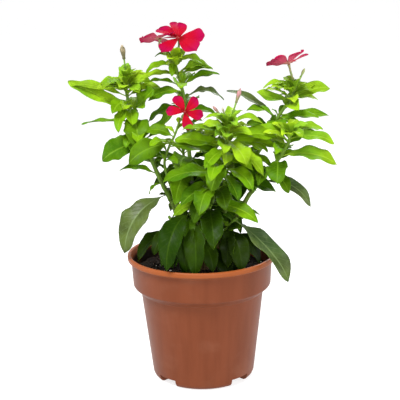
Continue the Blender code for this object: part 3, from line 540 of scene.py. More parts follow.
def leaf_axes(leaf):
    """A leaf's directions: along its chord, up from it, and across and square to its face."""
    turn, rise = math.radians(leaf.azimuth), math.radians(leaf.rise)
    chord = Vector((math.cos(turn) * math.cos(rise), math.sin(turn) * math.cos(rise), math.sin(rise)))
    up = Vector((-math.cos(turn) * math.sin(rise), -math.sin(turn) * math.sin(rise), math.cos(rise)))
    side = chord.cross(up)
    tilt = math.radians(leaf.tilt) * (-1 if side.y > 0 else 1)
    normal = up * math.cos(tilt) + side * math.sin(tilt)
    return chord, up, chord.cross(normal), normal


def fine_leaf(sheaf, base, leaf, tone, draw):
    """One leaf with its petiole, its sunken midrib above and raised one below, and a wavy edge."""
    chord, up, across, normal = leaf_axes(leaf)
    half_width = leaf.length * leaf.width / 2
    wave = draw.uniform(0.05, 0.13) * leaf.length * leaf.width
    waves, phase = draw.uniform(1.6, 3.2), draw.uniform(0, math.tau)
    curl = draw.uniform(0.1, 0.7) * leaf.length
    twist = math.radians(draw.uniform(-18, 18))
    sweep = draw.uniform(-0.04, 0.04) * leaf.length
    fold = EDGE_LIFT * draw.uniform(0.8, 1.7)
    rows, half_columns = next(grid[1:] for grid in BLADE_GRIDS if leaf.length < grid[0])
    columns = both_sides(half_columns)
    rings, along = [], stations(rows)
    for at in along:
        share = read_at(BLADE_SHAPE, at)
        arched = 4 * leaf.arch * leaf.length * at * (1 - at)
        middle = base + chord * (at * leaf.length) + up * arched + across * (sweep * 4 * at * (1 - at))
        middle = middle - up * (curl * max(at - CURL_START, 0.0) ** 2)
        half = max(half_width * share, PETIOLE_WIDTH * 0.5 * (1 - at))
        spread = min(max((at - 0.10) / 0.20, 0.0), 1.0)
        turned = Matrix.Rotation(twist * at, 3, chord)
        wide, face = turned @ across, turned @ normal
        top, under = [], []
        for column in columns:
            out = abs(column)
            lift = half * fold * spread * out**1.3 * (1.0 - 0.3 * at)
            shift, times_phase = (1.9, 3) if column > 0 else (0, 5)
            lift += wave * spread * out**2 * math.sin(math.tau * waves * at + phase + shift)
            ridge = math.exp(-((column / RIB_WIDTH) ** 2)) * (1.15 - at)
            bulge = 1 + 0.045 * out * spread * math.sin(1.6 * math.tau * waves * at + phase * times_phase)
            place = middle + wide * (half * column * bulge) + face * lift
            top.append(place - face * (RIB_GROOVE * ridge * spread))
            depth = BLADE_THICKNESS * (1 - 0.4 * out) * (1 - 0.3 * at) + RIB_DEPTH * ridge * (1 - 0.5 * at)
            under.append(place - face * depth)
        rings.append(top + under[::-1])
    # Young and bright leaves take the paler underside, partly painted light
    sheaf.blade(rings, columns, along, tone, "under_young" if tone in ("young", "bright") else "under")


def rule_leaves(shoot, path):
    """Opposite pairs, each a quarter turn from the one below, that shorten up the shoot."""
    draw = random.Random(shoot.seed)
    leaves = []
    bearing = 90.0 if shoot.leaves else draw.uniform(0, 180)
    low, high = path[0].z + RULE_FOOT_CLEAR, path[-1].z - RULE_TIP_CLEAR
    for node in range(shoot.fill):
        age = node / max(shoot.fill - 1, 1)
        height = low + (high - low) * age
        length = shoot.lengths[0] + (shoot.lengths[1] - shoot.lengths[0]) * age
        for opposite in (0, 180):
            leaves.append(Leaf(
                height,
                length * draw.uniform(0.85, 1.12),
                RULE_RISE_LOW + RULE_RISE_GAIN * age**RULE_RISE_POWER + draw.uniform(-9, 9),
                bearing + opposite + draw.uniform(-16, 16),
                draw.uniform(0.36, 0.44),
                RULE_ARCH_LOW - RULE_ARCH_LOSS * age + draw.uniform(-0.03, 0.03),
                draw.uniform(-5, 30),
            ))
        bearing += draw.uniform(-14, 14) if shoot.leaves else 90
    return leaves


def rosette_leaves(shoot, path):
    """Close pairs of young leaves that crown a shoot, the innermost short and upright."""
    draw = random.Random(shoot.seed + 100)
    leaves = []
    bearing = draw.uniform(0, 90)
    for ring in range(shoot.rosette):
        height = path[-1].z - ROSETTE_DEPTH + ROSETTE_STEP * ring
        for opposite in (0, 180):
            azimuth = bearing + opposite + draw.uniform(-12, 12)
            length = (ROSETTE_LENGTH - ROSETTE_SHORTER * ring) * draw.uniform(0.9, 1.15)
            rise = ROSETTE_RISE + ROSETTE_STEEPER * ring + draw.uniform(-8, 8)
            leaves.append(Leaf(height, length, rise, azimuth, 0.42, 0.12, tone="young"))
        bearing += 90
    return leaves


# Where the photo shows sky between the leaves: left, top, right and bottom, in pixels of the picture
SKY = (
    (184, 75, 209, 91), (149, 98, 168, 108), (139, 107, 152, 117), (148, 127, 163, 137), (168, 147, 193, 158),
    (255, 95, 281, 106), (242, 99, 265, 119), (296, 131, 335, 149), (282, 156, 305, 176),
    (140, 168, 163, 182), (142, 197, 167, 243), (103, 56, 119, 76), (106, 98, 118, 134),
    (236, 134, 246, 146), (256, 142, 271, 158), (246, 192, 264, 206), (200, 96, 216, 108),
)


def in_sky(point):
    """Whether the camera sees a point against the sky between the leaves."""
    x, y, z = CAMERA.inverted() @ (point * MM)
    across, down = PICTURE / 2 - FOCAL_PIXELS * x / z, PICTURE / 2 + FOCAL_PIXELS * y / z
    return any(left < across < right and top < down < bottom for left, top, right, bottom in SKY)


def rooted(shoot, path, leaf):
    """Where a leaf starts: a little in from its shoot's skin."""
    out = round_about(math.radians(leaf.azimuth))
    return at_height(path, leaf.height)[0] + out * max(shoot.radii[1] - ROOT_DEPTH, 0.1)


def grown(shoot, path):
    """(base, leaf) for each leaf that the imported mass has."""
    tree = search_tree([vertex.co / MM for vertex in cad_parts["foliage_" + shoot.name].data.vertices])
    placed = []
    for leaf in [*shoot.leaves, *rosette_leaves(shoot, path), *rule_leaves(shoot, path)]:
        for turn, lift in TRIES:
            trial = leaf._replace(azimuth=leaf.azimuth + turn, rise=leaf.rise + lift)
            base = rooted(shoot, path, trial)
            if tree.find(base + leaf_axes(trial)[0] * leaf.length)[2] < TIP_REACH:
                seen = sum(in_sky(point) for point in sample_points(base, trial)[1:])
                if leaf in shoot.leaves or seen < SKY_SHARE:
                    placed.append((base, trial))
                break
    return placed


def sample_points(base, leaf):
    """Points along the middle of a blade and near both its edges."""
    chord, up, across, _ = leaf_axes(leaf)
    out = []
    for at, side in ((0.3, 0), (0.5, -0.7), (0.5, 0.7), (0.6, 0), (0.8, -0.5), (0.8, 0.5), (1.0, 0)):
        middle = base + chord * (at * leaf.length) + up * (4 * leaf.arch * leaf.length * at * (1 - at))
        out.append(middle + across * (side * leaf.length * leaf.width / 2))
    return out


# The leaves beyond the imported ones: how far they keep clear of others, their sizes and rises
AXIL_CLEAR, TUFT_CLEAR, FILLER_CLEAR = 0.9, 0.4, 2.6
AXIL_LENGTHS, AXIL_RISES, AXIL_STEPS = (8, 15), (15, 55), (6, 9)
FILLER_LENGTHS, FILLER_RISES = (17, 31), (-28, 30)
TUFT_DEPTH, TUFT_LENGTH, TUFT_SHORTER = 12.0, 28, 18
GOLDEN_TURN = 137.5  # from each leaf of a tuft to the next
# How many of them each shoot has at its tip and along it
TUFTS = {
    "left": 18, "centre": 20, "right": 13, "upper_right": 13, "centre_left": 4, "back_left": 10, "back": 10,
    "back_right": 10,
}
FILLERS = {
    "left": 8, "centre": 28, "right": 10, "upper_right": 10, "centre_left": 10, "slender": 6, "back_left": 14,
    "back": 16, "back_right": 14, "low_front": 14, "low_right": 10, "low_left": 6, "low_back": 14,
}
# Up to which age, as a share of its shoot's height, a leaf has a tone: high shoots and low ones. Old leaves
# are darker in their own colour, and the lowest tenth of a high shoot and most of a low shoot's leaves take
# the shade tone, painted shade
HIGH_TONES = (
    (0.10, "shade"), (0.22, "dark"), (0.46, "deep"), (0.70, "mid"), (0.88, "bright"), (9.0, "young"),
)
LOW_TONES = ((0.85, "shade"), (9.0, "dark"))

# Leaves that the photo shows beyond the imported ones
ADDED = {
    "low_front": (
        (152, 50, -58, 260, 0.32, 0.18, 5, "shade"), (144, 42, -52, 224, 0.34, 0.16, 5),
        (146, 46, -62, 294, 0.3, 0.14, 5), (138, 38, -58, 252, 0.4, 0.14, 5),
        (150, 30, -40, 268, 0.36, 0.18, 10), (136, 36, -40, 232, 0.34, 0.16, 5),
    ),
    "low_right": (
        (143, 40, -54, 258, 0.32, 0.16, 5, "gloom"), (130, 34, -50, 300, 0.36, 0.14, 5, "gloom"),
        (140, 26, -22, 220, 0.38, 0.14, 20, "gloom"),
    ),
    "low_left": (
        (140, 30, -44, 250, 0.36, 0.14, 5, "shade"), (124, 28, -50, 290, 0.4, 0.14, 5),
    ),
    "centre": (
        (176, 42, -14, 220, 0.34, 0.12), (168, 36, -30, 235, 0.4, 0.14, 15, "dark"),
        (186, 28, -46, 310, 0.44, 0.12, 5, "deep"), (172, 36, 4, -24, 0.3, 0.14, 30),
        (190, 36, -20, -48, 0.36, 0.12, 20), (196, 40, -6, 6, 0.3, 0.12, 30, "deep"),
        (206, 30, -20, 230, 0.4, 0.14, 20, "mid"),
    ),
    "slender": (
        (208, 18, 40, 188, 0.46, 0.1, 30, "dark"), (184, 24, -30, -60, 0.42, 0.12, 10),
        (190, 24, -50, 260, 0.44, 0.12, 5), (204, 22, -36, 294, 0.42, 0.12, 5),
        (226, 22, -52, 236, 0.5, 0.1, 10, "deep"), (225, 23, -46, 304, 0.46, 0.1, 10, "deep"),
    ),
    "centre_left": (
        (172, 32, -44, 280, 0.42, 0.14, 5, "dark"), (196, 32, -36, 300, 0.4, 0.14, 5),
        (182, 30, -16, -40, 0.38, 0.12, 20), (210, 28, -30, 240, 0.4, 0.14, 10, "mid"),
    ),
    "left": (
        (207, 41, 26, 4, 0.3, 0.04, 35, "deep"), (222, 26, -44, 256, 0.46, 0.12, 5),
        (238, 24, -30, 278, 0.5, 0.12, 5, "mid"), (228, 28, -2, -42, 0.42, 0.12),
        (242, 26, -8, -52, 0.44, 0.12, 20, "mid"), (218, 24, -26, 240, 0.46, 0.12, 15),
        (214, 22, -50, 300, 0.48, 0.12, 5, "deep"), (254, 24, 2, -58, 0.46, 0.12, 20, "bright"),
        (256, 26, 6, 224, 0.44, 0.12, 20, "bright"), (196, 24, -46, 270, 0.44, 0.12, 5),
    ),
    "right": (
        (206, 24, -30, 300, 0.44, 0.12, 5, "mid"), (190, 28, -20, 220, 0.4, 0.12, 20),
        (180, 26, -30, 230, 0.42, 0.12, 15, "dark"), (186, 28, -30, -50, 0.4, 0.12, 15),
    ),
    "upper_right": (
        (226, 26, -34, 250, 0.44, 0.12, 5), (206, 30, -14, 210, 0.4, 0.12),
        (214, 24, -40, 290, 0.46, 0.12, 5, "deep"), (238, 26, 4, 210, 0.42, 0.12),
        (243, 24, -8, 220, 0.42, 0.12, 15, "bright"), (194, 28, -20, 225, 0.42, 0.12, 15, "dark"),
    ),
}


def added_leaves(shoot, path, taken, draw):
    """(base, leaf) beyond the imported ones: listed ones, pairs in the axils, tip tufts and fillers."""
    low, high = path[0].z, path[-1].z
    wished = [(Leaf(*row), 0.0) for row in ADDED.get(shoot.name, ())]
    bearing, height = draw.uniform(0, 180), low + 3.0
    while height < high - 1.0:
        for opposite in (0, 180):
            length = draw.uniform(*AXIL_LENGTHS)
            rise, azimuth = draw.uniform(*AXIL_RISES), bearing + opposite + draw.uniform(-15, 15)
            wished.append((Leaf(height, length, rise, azimuth, draw.uniform(0.36, 0.48), 0.12), AXIL_CLEAR))
        bearing, height = bearing + 90 + draw.uniform(-15, 15), height + draw.uniform(*AXIL_STEPS)
    for number in range(TUFTS.get(shoot.name, 0)):
        share = number / TUFTS[shoot.name]
        azimuth = number * GOLDEN_TURN + draw.uniform(-14, 14)
        height = high - TUFT_DEPTH + 10.0 * share
        leaf = Leaf(height, TUFT_LENGTH - TUFT_SHORTER * share + draw.uniform(-3, 3),
                    2 + 80 * share**1.4 + draw.uniform(-7, 7), azimuth, draw.uniform(0.34, 0.46), 0.12,
                    tone=("young", "bright")[number % 2])
        wished.append((leaf, TUFT_CLEAR))
    for _ in range(FILLERS.get(shoot.name, 0)):
        height = low + (high - low) * draw.uniform(0.05, 0.85)
        leaf = Leaf(height, draw.uniform(*FILLER_LENGTHS), draw.uniform(*FILLER_RISES), draw.uniform(0, 360),
                    draw.uniform(0.30, 0.42), draw.uniform(0.06, 0.2), draw.uniform(-5, 35))
        wished.append((leaf, FILLER_CLEAR))
    near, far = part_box("foliage_" + shoot.name)
    placed, mine = [], []
    for leaf, clear in wished:
        base = rooted(shoot, path, leaf)
        points = sample_points(base, leaf)
        inside = all(near[axis] < point[axis] * MM < far[axis] for point in points for axis in range(3))
        if not inside or any(taken.find(point)[2] < clear or in_sky(point) for point in points[1:]):
            continue
        if clear == FILLER_CLEAR and any((a - b).length < clear for a in points[1:] for b in mine):
            continue
        mine += points[1:]
        placed.append((base, leaf))
    return placed


def tone_of(shoot, leaf, path):
    """Young leaves are pale and old ones dark, and the lowest ones have painted shade, unless the list gives
    a tone.
    """
    if leaf.tone:
        return leaf.tone
    age = (leaf.height - path[0].z) / (path[-1].z - path[0].z)
    steps = LOW_TONES if FORKS[shoot.name][1] is None else HIGH_TONES
    return next(tone for limit, tone in steps if age <= limit)


# Blossom


def fine_petal(sheaf, flower, facing, spin, draw):
    """One petal: crimson above and pink below, its one edge over its neighbour."""
    centre, reach = Vector(flower.centre), flower.diameter / 2
    turned = facing.to_track_quat("Z", "Y").to_matrix()
    out = turned @ round_about(spin, 1.0, flower.cup).normalized()
    side = turned @ Vector((-math.sin(spin), math.cos(spin), 0.0))
    square = out.cross(side)
    columns = both_sides(PETAL_COLUMNS)
    ruffle, phase = draw.uniform(0.015, 0.035) * reach, draw.uniform(0, math.tau)
    first = PETAL_WIDTHS[0][0]
    rings, along = [], [first + (1 - first) * at for at in stations(PETAL_ROWS)]
    for at in along:
        share = flower.slim * read_at(PETAL_SHAPE, at)
        top, under = [], []
        for column in columns:
            far = at * (1 - 0.05 * abs(column) ** 2.4)
            place = centre + out * (far * reach) + side * (0.10 * reach * at**2 + share * reach * column)
            lift = PETAL_OVERLAP * share * reach * column - 0.07 * reach * at**2.5
            groove = 0.035 * reach * math.exp(-((column / 0.2) ** 2)) * at
            lift += 0.05 * reach * abs(column) ** 2 * at - groove
            lift += ruffle * abs(column) * at * math.sin(3.2 * math.pi * at + phase + column * 1.7)
            place = place + square * lift
            top.append(place)
            under.append(place - square * PETAL_THICKNESS * (1 - 0.5 * abs(column)))
        rings.append(top + under[::-1])
    sheaf.blade(rings, columns, along, "petal", "petal_under")


def sepals(sheaf, foot, direction, length, draw):
    """Five narrow sepals round the foot of a flower's tube."""
    side = direction.orthogonal().normalized()
    for number in range(PETALS):
        angle = math.tau * number / PETALS + draw.uniform(-0.2, 0.2)
        out = side * math.cos(angle) + direction.cross(side) * math.sin(angle)
        tip = foot + direction * length + out * (0.42 * length)
        bow = 0.25 * length
        path = [foot.lerp(tip, t) + out * (bow * math.sin(math.pi * t)) for t in (0, 0.33, 0.66, 1.0)]
        limb(sheaf, path, lambda t: 0.45 * (1 - t) + 0.08, 5, "calyx")


def fine_flower(sheaf, flower, path, draw):
    centre, facing = Vector(flower.centre), Vector(flower.facing).normalized()
    even = [flower.spin + 360 * number / PETALS for number in range(PETALS)]
    for spin in flower.spins or even:
        fine_petal(sheaf, flower, facing, math.radians(spin), draw)
    foot, _ = at_height(path, flower.height)
    back = centre - facing * min(TUBE_STRAIGHT, (centre - foot).length / 2)
    tube = smooth_path((centre - facing * 0.9, back, foot), FINE_STEPS)
    limb(sheaf, tube, lambda t: read_at(TUBE_RADII, t), TWIG_SIDES, "tube")
    eye = [centre + facing * height for height in EYE_HEIGHTS]
    limb(sheaf, eye, lambda t: 1.3 - 0.8 * t * t, TWIG_SIDES, "eye")
    joint = tube[int(len(tube) * 0.72)]
    sepals(sheaf, joint, (tube[int(len(tube) * 0.6)] - joint).normalized(), FLOWER_SEPALS, draw)


def fine_bud(sheaf, bud, path, draw):
    """A bud: its stalk and calyx are green, and its twisted tip has the bud's own tint."""
    foot, _ = at_height(path, bud.height)
    tip = Vector(bud.tip)
    bow = (tip - foot).orthogonal().normalized() * draw.uniform(-0.5, 0.5)
    line = smooth_path((foot, foot.lerp(tip, 0.5) + bow, tip), 2 * FINE_STEPS)
    cut = int(len(line) * BUD_START)
    limb(sheaf, line[: cut + 1], lambda t: 0.8 - 0.15 * math.sin(math.pi * t), 8, "calyx")
    limb(sheaf, line[cut:], lambda t: bud.bulge * read_at(BUD_RADII, t), 10, "bud_" + bud.tint, rough=0.12)
    sepals(sheaf, line[int(cut * 0.55)], (line[cut] - line[0]).normalized(), BUD_SEPALS, draw)


# Limbs


def bough_path(shoot, steps):
    height, bends = FORKS[shoot.name]
    start, _ = at_height(smooth_path(STEM_PATH, 3), height)
    onward = smooth_path(shoot.path)
    heading = (onward[1] - onward[0]).normalized()
    return smooth_path([start, *bends, onward[0] - heading * BOUGH_END_STRAIGHT], steps) + [onward[0]]


def jointed(low, high, total, spacing):
    """A radius that runs from low to high and swells a little at each joint."""

    def radius(t):
        from_joint = (t * total / spacing) % 1.0
        near = min(from_joint, 1 - from_joint) * spacing
        return (low + (high - low) * t) * (1 + 0.16 * math.exp(-((near / 1.6) ** 2)))

    return radius


# Materials


def added(tree, kind, inputs=(), **settings):
    """A node with its settings, and its inputs set or linked."""
    node = tree.nodes.new("ShaderNode" + kind)
    for key, value in settings.items():
        setattr(node, key, value)
    for key, value in dict(inputs).items():
        if isinstance(value, bpy.types.NodeSocket):
            tree.links.new(value, node.inputs[key])
        else:
            node.inputs[key].default_value = value
    return node


def reckoned(tree, operation, *values):
    return added(tree, "Math", enumerate(values), operation=operation).outputs[0]


def times(tree, first, second):
    return reckoned(tree, "MULTIPLY", first, second)


def ranged(tree, value, low, high, first=0.0, last=1.0):
    inputs = {"Value": value, "From Min": low, "From Max": high, "To Min": first, "To Max": last}
    return added(tree, "MapRange", inputs, interpolation_type="SMOOTHSTEP").outputs[0]


def mixed(tree, share, first, second):
    """A colour between two, each a socket or a plain colour."""
    first, second = ((*value, 1.0) if isinstance(value, tuple) else value for value in (first, second))
    return added(tree, "Mix", {0: share, 6: first, 7: second}, data_type="RGBA").outputs[2]


def own_space(tree):
    """The place on the object, in metres."""
    return added(tree, "TexCoord").outputs["Object"]


def noised(tree, scale, detail=2.0, stretch=None):
    """Noise over the object's own space, stretched along Z if asked."""
    place = own_space(tree)
    if stretch:
        place = added(tree, "Mapping", {"Vector": place, "Scale": stretch}).outputs[0]
    return added(tree, "TexNoise", {"Vector": place, "Scale": scale, "Detail": detail}).outputs["Fac"]


def started(name, roughness, specular):
    """(material, node tree) of a new material."""
    made = bpy.data.materials.new(name)
    made.use_nodes = True
    shader = made.node_tree.nodes["Principled BSDF"]
    shader.inputs["Roughness"].default_value = roughness
    shader.inputs["Specular IOR Level"].default_value = specular
    return made, made.node_tree


def joined(made, colour, height=None, strength=0.3, distance=0.0003):
    """The material, with its colour and its relief led to the shader."""
    tree, shader = made.node_tree, made.node_tree.nodes["Principled BSDF"]
    tree.links.new(colour, shader.inputs["Base Color"])
    if height is not None:
        bump = added(tree, "Bump", {"Height": height, "Strength": strength, "Distance": distance})
        tree.links.new(bump.outputs[0], shader.inputs["Normal"])
    return made


def tinted(colour, factors):
    return tuple(min(channel * factor, 1.0) for channel, factor in zip(colour, factors))


def shaded(colour, factor):
    return tinted(colour, (factor,) * 3)


def mixed_plain(first, second, share):
    return tuple(a + (b - a) * share for a, b in zip(first, second))


def parts_of(tree, place):
    """The X, Y and Z of a place."""
    return added(tree, "SeparateXYZ", {0: place}).outputs


def growth(tree):
    """The map of a leaf, petal or limb: X runs across it and Y along it."""
    return added(tree, "UVMap", uv_map="growth").outputs[0]


def veins_of(tree):
    """How strongly the midrib and the side veins show at a place on a leaf, and how far along it is."""
    across, along, _ = parts_of(tree, growth(tree))
    out = reckoned(tree, "ABSOLUTE", reckoned(tree, "MULTIPLY_ADD", across, 2.0, -1.0))
    rib = ranged(tree, out, 0.025, 0.10, 1.0, 0.0)
    leant = times(tree, reckoned(tree, "POWER", out, 0.8), VEIN_SLANT)
    phase = reckoned(tree, "SUBTRACT", times(tree, along, VEIN_ROWS), leant)
    ridge = reckoned(tree, "SINE", times(tree, phase, math.tau))
    side = times(tree, ranged(tree, ridge, 0.80, 1.0), ranged(tree, out, 0.98, 0.55))
    return rib, side, along


def leaf_look(name, colour, vein, roughness, specular):
    made, tree = started(name, roughness, specular)
    rib, side, along = veins_of(tree)
    # Blotches and pale flecks: partly random tone, partly painted highlights
    patches_and_painted_highlights = ranged(tree, noised(tree, 60.0, 2.0), 0.34, 0.66)
    drift = ranged(tree, noised(tree, 27.0, 1.0), 0.36, 0.64)
    flecks_and_painted_highlights = ranged(tree, noised(tree, 330.0, 2.0), 0.50, 0.72, 0.0, 0.45)
    warm, cool = tinted(colour, (1.20, 1.06, 0.8)), tinted(colour, (0.82, 0.94, 1.1))
    base = mixed(tree, patches_and_painted_highlights, shaded(cool, 0.72), cool)
    base = mixed(tree, drift, base, mixed(tree, patches_and_painted_highlights, shaded(warm, 0.72), shaded(warm, 1.25)))
    base = mixed(tree, flecks_and_painted_highlights, base, mixed_plain(colour, vein, 0.35))
    base = mixed(tree, ranged(tree, along, 0.32, 0.0), base, shaded(vein, 0.95))
    base = mixed(tree, times(tree, side, 0.16), base, vein)
    base = mixed(tree, times(tree, rib, 0.70), base, vein)
    height = reckoned(tree, "ADD", times(tree, side, -0.7), times(tree, noised(tree, 900.0, 1.0), 0.25))
    return joined(made, base, height, 0.5, 0.0004)


def petal_look(name, edge, middle, throat, roughness):
    made, tree = started(name, roughness, 0.03)
    along = parts_of(tree, growth(tree))[1]
    streaks = added(tree, "Mapping", {"Vector": growth(tree), "Scale": (26.0, 1.6, 1.0)}).outputs[0]
    fibre = added(tree, "TexNoise", {"Vector": streaks, "Scale": 1.0, "Detail": 2.0}).outputs["Fac"]
    base = mixed(tree, ranged(tree, along, 0.45, 1.0), middle, edge)
    base = mixed(tree, ranged(tree, fibre, 0.35, 0.75, 0.0, 0.35), base, shaded(edge, 0.62))
    base = mixed(tree, ranged(tree, along, 0.34, 0.08), base, throat)
    return joined(made, base, fibre, 0.35)


def simple_look(name, dark, light, roughness, scale, strength=0.3, distance=0.0003, specular=0.5):
    made, tree = started(name, roughness, specular)
    pattern = noised(tree, scale, 4.0)
    base = mixed(tree, ranged(tree, pattern, 0.3, 0.7), dark, light)
    return joined(made, base, pattern, strength, distance)


def stem_look(name, low, high, roughness):
    """Woody brown near the ground and green above it, with fine lengthwise lines."""
    made, tree = started(name, roughness, 0.10)
    height = parts_of(tree, own_space(tree))[2]
    lines = noised(tree, 700.0, 3.0, (1.0, 1.0, 0.12))
    base = mixed(tree, ranged(tree, height, 0.112, 0.150), low, high)
    base = mixed(tree, ranged(tree, lines, 0.35, 0.70, 0.0, 0.5), base, shaded(low, 0.7))
    return joined(made, base, lines, 0.5)


def bud_look(name, foot, tip):
    made, tree = started(name, 0.5, 0.4)
    along = parts_of(tree, growth(tree))[1]
    base = mixed(tree, ranged(tree, along, 0.05, 0.55), foot, tip)
    streaks = noised(tree, 600.0, 2.0, (1.0, 1.0, 0.15))
    base = mixed(tree, ranged(tree, streaks, 0.42, 0.66, 0.0, 0.8), base, shaded(foot, 0.55))
    return joined(made, base)


def plastic_look():
    """Terracotta-coloured plastic: faint mould flow down it, dust and fine scuffs, a painted highlight along
    the lip and a near-black band inside.
    """
    made, tree = started("pot_plastic", 0.42, 0.14)
    flow = noised(tree, 120.0, 3.0, (1.0, 1.0, 0.06))
    dust = noised(tree, 38.0, 5.0)
    place = own_space(tree)
    across, _, height = parts_of(tree, place)
    base = mixed(tree, ranged(tree, flow, 0.3, 0.7), (0.113, 0.0270, 0.0085), (0.131, 0.0325, 0.0112))
    base = mixed(tree, ranged(tree, dust, 0.52, 0.80, 0.0, 0.30), base, (0.19, 0.072, 0.040))
    # Painted highlight: the top of the lip is lighter orange, as if lit from above
    base = mixed(tree, ranged(tree, height, 0.1045, 0.1095, 0.0, 0.75), base, (0.24, 0.060, 0.012))
    out = added(tree, "VectorMath", {0: place, 1: (1.0, 1.0, 0.0)}, operation="MULTIPLY").outputs[0]
    radius = added(tree, "VectorMath", {0: out}, operation="LENGTH").outputs["Value"]
    # Near black on the inner wall only, between two heights, and more of it at the left
    behind = reckoned(tree, "MULTIPLY_ADD", height, -0.0558, radius)
    inner = times(tree, ranged(tree, behind, 0.0555, 0.0550), ranged(tree, height, 0.109, 0.103))
    inner = times(tree, inner, ranged(tree, height, 0.090, 0.094))
    side = times(tree, ranged(tree, across, 0.045, -0.030, 0.35), ranged(tree, dust, 0.30, 0.55, 0.6))
    base = mixed(tree, times(tree, inner, side), base, (0.008, 0.0045, 0.003))
    fine = reckoned(tree, "ADD", noised(tree, 1400.0, 2.0), times(tree, flow, 0.4))
    return joined(made, base, fine, 0.16)


def all_materials():
    made = {tone: leaf_look("leaf_" + tone, *colours, 0.36, 0.035) for tone, colours in TONES.items()}
    # The dull leaves' grey colour is partly painted sheen; their gloss is real
    made["dull"] = leaf_look("leaf_dull_sheen", *TONES["dull"], 0.36, 0.13)
    made["under"] = leaf_look("leaf_underside", *UNDER_COLOURS, 0.62, 0.03)
    made["under_young"] = leaf_look("leaf_underside_young_painted_light", *UNDER_YOUNG_PAINTED_LIGHT_COLOURS, 0.62, 0.03)
    edge, middle, throat = (0.250, 0.001, 0.040), (0.285, 0.001, 0.009), (0.14, 0.001, 0.002)
    made["petal"] = petal_look("petal_face", edge, middle, throat, 0.55)
    edge, middle, throat = (0.36, 0.004, 0.055), (0.50, 0.070, 0.125), (0.48, 0.22, 0.17)
    made["petal_under"] = petal_look("petal_back", edge, middle, throat, 0.62)
    made["bark"] = stem_look("stem_bark", (0.080, 0.050, 0.020), (0.088, 0.155, 0.018), 0.6)
    made["twig"] = stem_look("stem_green", (0.075, 0.080, 0.018), (0.100, 0.195, 0.018), 0.5)
    for tint, foot, tip in BUD_COLOURS:
        made["bud_" + tint] = bud_look("bud_" + tint, foot, tip)
    for kind, look in SIMPLE_LOOKS.items():
        made[kind] = simple_look(*look)
    made["pot"] = plastic_look()
    return made


# Pot and compost


def rounded(profile, radius):
    """A closed profile with each corner turned into a small arc."""
    out = []
    for before, corner, after in zip(profile[-1:] + profile[:-1], profile, profile[1:] + profile[:1]):
        back, on = before - corner, after - corner
        cut = min(radius, back.length * 0.45, on.length * 0.45)
        first, last = corner + back.normalized() * cut, corner + on.normalized() * cut
        for t in (0.0, 0.25, 0.5, 0.75, 1.0):
            out.append(first * (1 - t) ** 2 + corner * 2 * t * (1 - t) + last * t**2)
    return out


def pot_profile():
    lip_bottom = POT_HEIGHT - LIP_HEIGHT
    base_top = FOOT_HEIGHT + FLOOR_THICKNESS
    points = (
        (RIM_RADIUS - 0.7, POT_HEIGHT),
        (RIM_RADIUS, POT_HEIGHT - 1.0),
        (RIM_RADIUS, lip_bottom + 0.8),
        (COLLAR_TOP_RADIUS, lip_bottom - 0.3),
        (COLLAR_FOOT_RADIUS, COLLAR_FOOT),
        (COLLAR_FOOT_RADIUS - 0.8, COLLAR_FOOT - 1.2),
        (BODY_TOP_RADIUS, SHOULDER_FOOT - 0.3),
        (BODY_FOOT_RADIUS, BODY_FOOT),
        (BODY_FOOT_RADIUS - 1.2, BODY_FOOT - 2.4),
        (FOOT_RADIUS, 0.0),
        (FOOT_RADIUS - FOOT_WIDTH, 0.0),
        (FOOT_RADIUS - FOOT_WIDTH - 0.6, FOOT_HEIGHT),
        (CENTRE_HOLE_RADIUS, FOOT_HEIGHT),
        (CENTRE_HOLE_RADIUS, base_top),
        (BODY_FOOT_RADIUS - WALL - 1.6, base_top),
        (BODY_FOOT_RADIUS - WALL + 0.4, base_top + 2.0),
        (BODY_TOP_RADIUS - WALL, SHOULDER_FOOT + 0.2),
        (COLLAR_FOOT_RADIUS - WALL, COLLAR_FOOT + 0.9),
        (COLLAR_TOP_RADIUS - WALL, lip_bottom),
        (RIM_RADIUS - LIP_WIDTH, POT_HEIGHT - 1.0),
        (RIM_RADIUS - LIP_WIDTH + 0.7, POT_HEIGHT),
    )
    return [Vector((radius, height)) for radius, height in points]


def lathe(profile, segments):
    """(points, faces) of a closed profile turned about the Z axis."""
    count = len(profile)
    points = [round_about(math.tau * i / segments, *p) for i in range(segments) for p in profile]
    faces = []
    for i in range(segments):
        here, there = i * count, (i + 1) % segments * count
        for j in range(count):
            k = (j + 1) % count
            faces.append((here + j, here + k, there + k, there + j))
    return points, faces


def foot_gap(place, angle):
    shape = bmesh.new()
    bmesh.ops.create_cube(shape, size=1.0)
    size = Matrix.Diagonal((FOOT_GAP_LENGTH, FOOT_GAP_WIDTH, 2 * FOOT_HEIGHT, 1.0))
    shape.transform(Matrix.Translation(place) @ Matrix.Rotation(angle, 4, "Z") @ size)
    return shape


def drain_hole(place):
    shape = bmesh.new()
    size = {"radius1": DRAIN_RADIUS, "radius2": DRAIN_RADIUS, "depth": 2 * FOOT_HEIGHT}
    bmesh.ops.create_cone(shape, cap_ends=True, segments=28, **size)
    shape.transform(Matrix.Translation(place))
    return shape


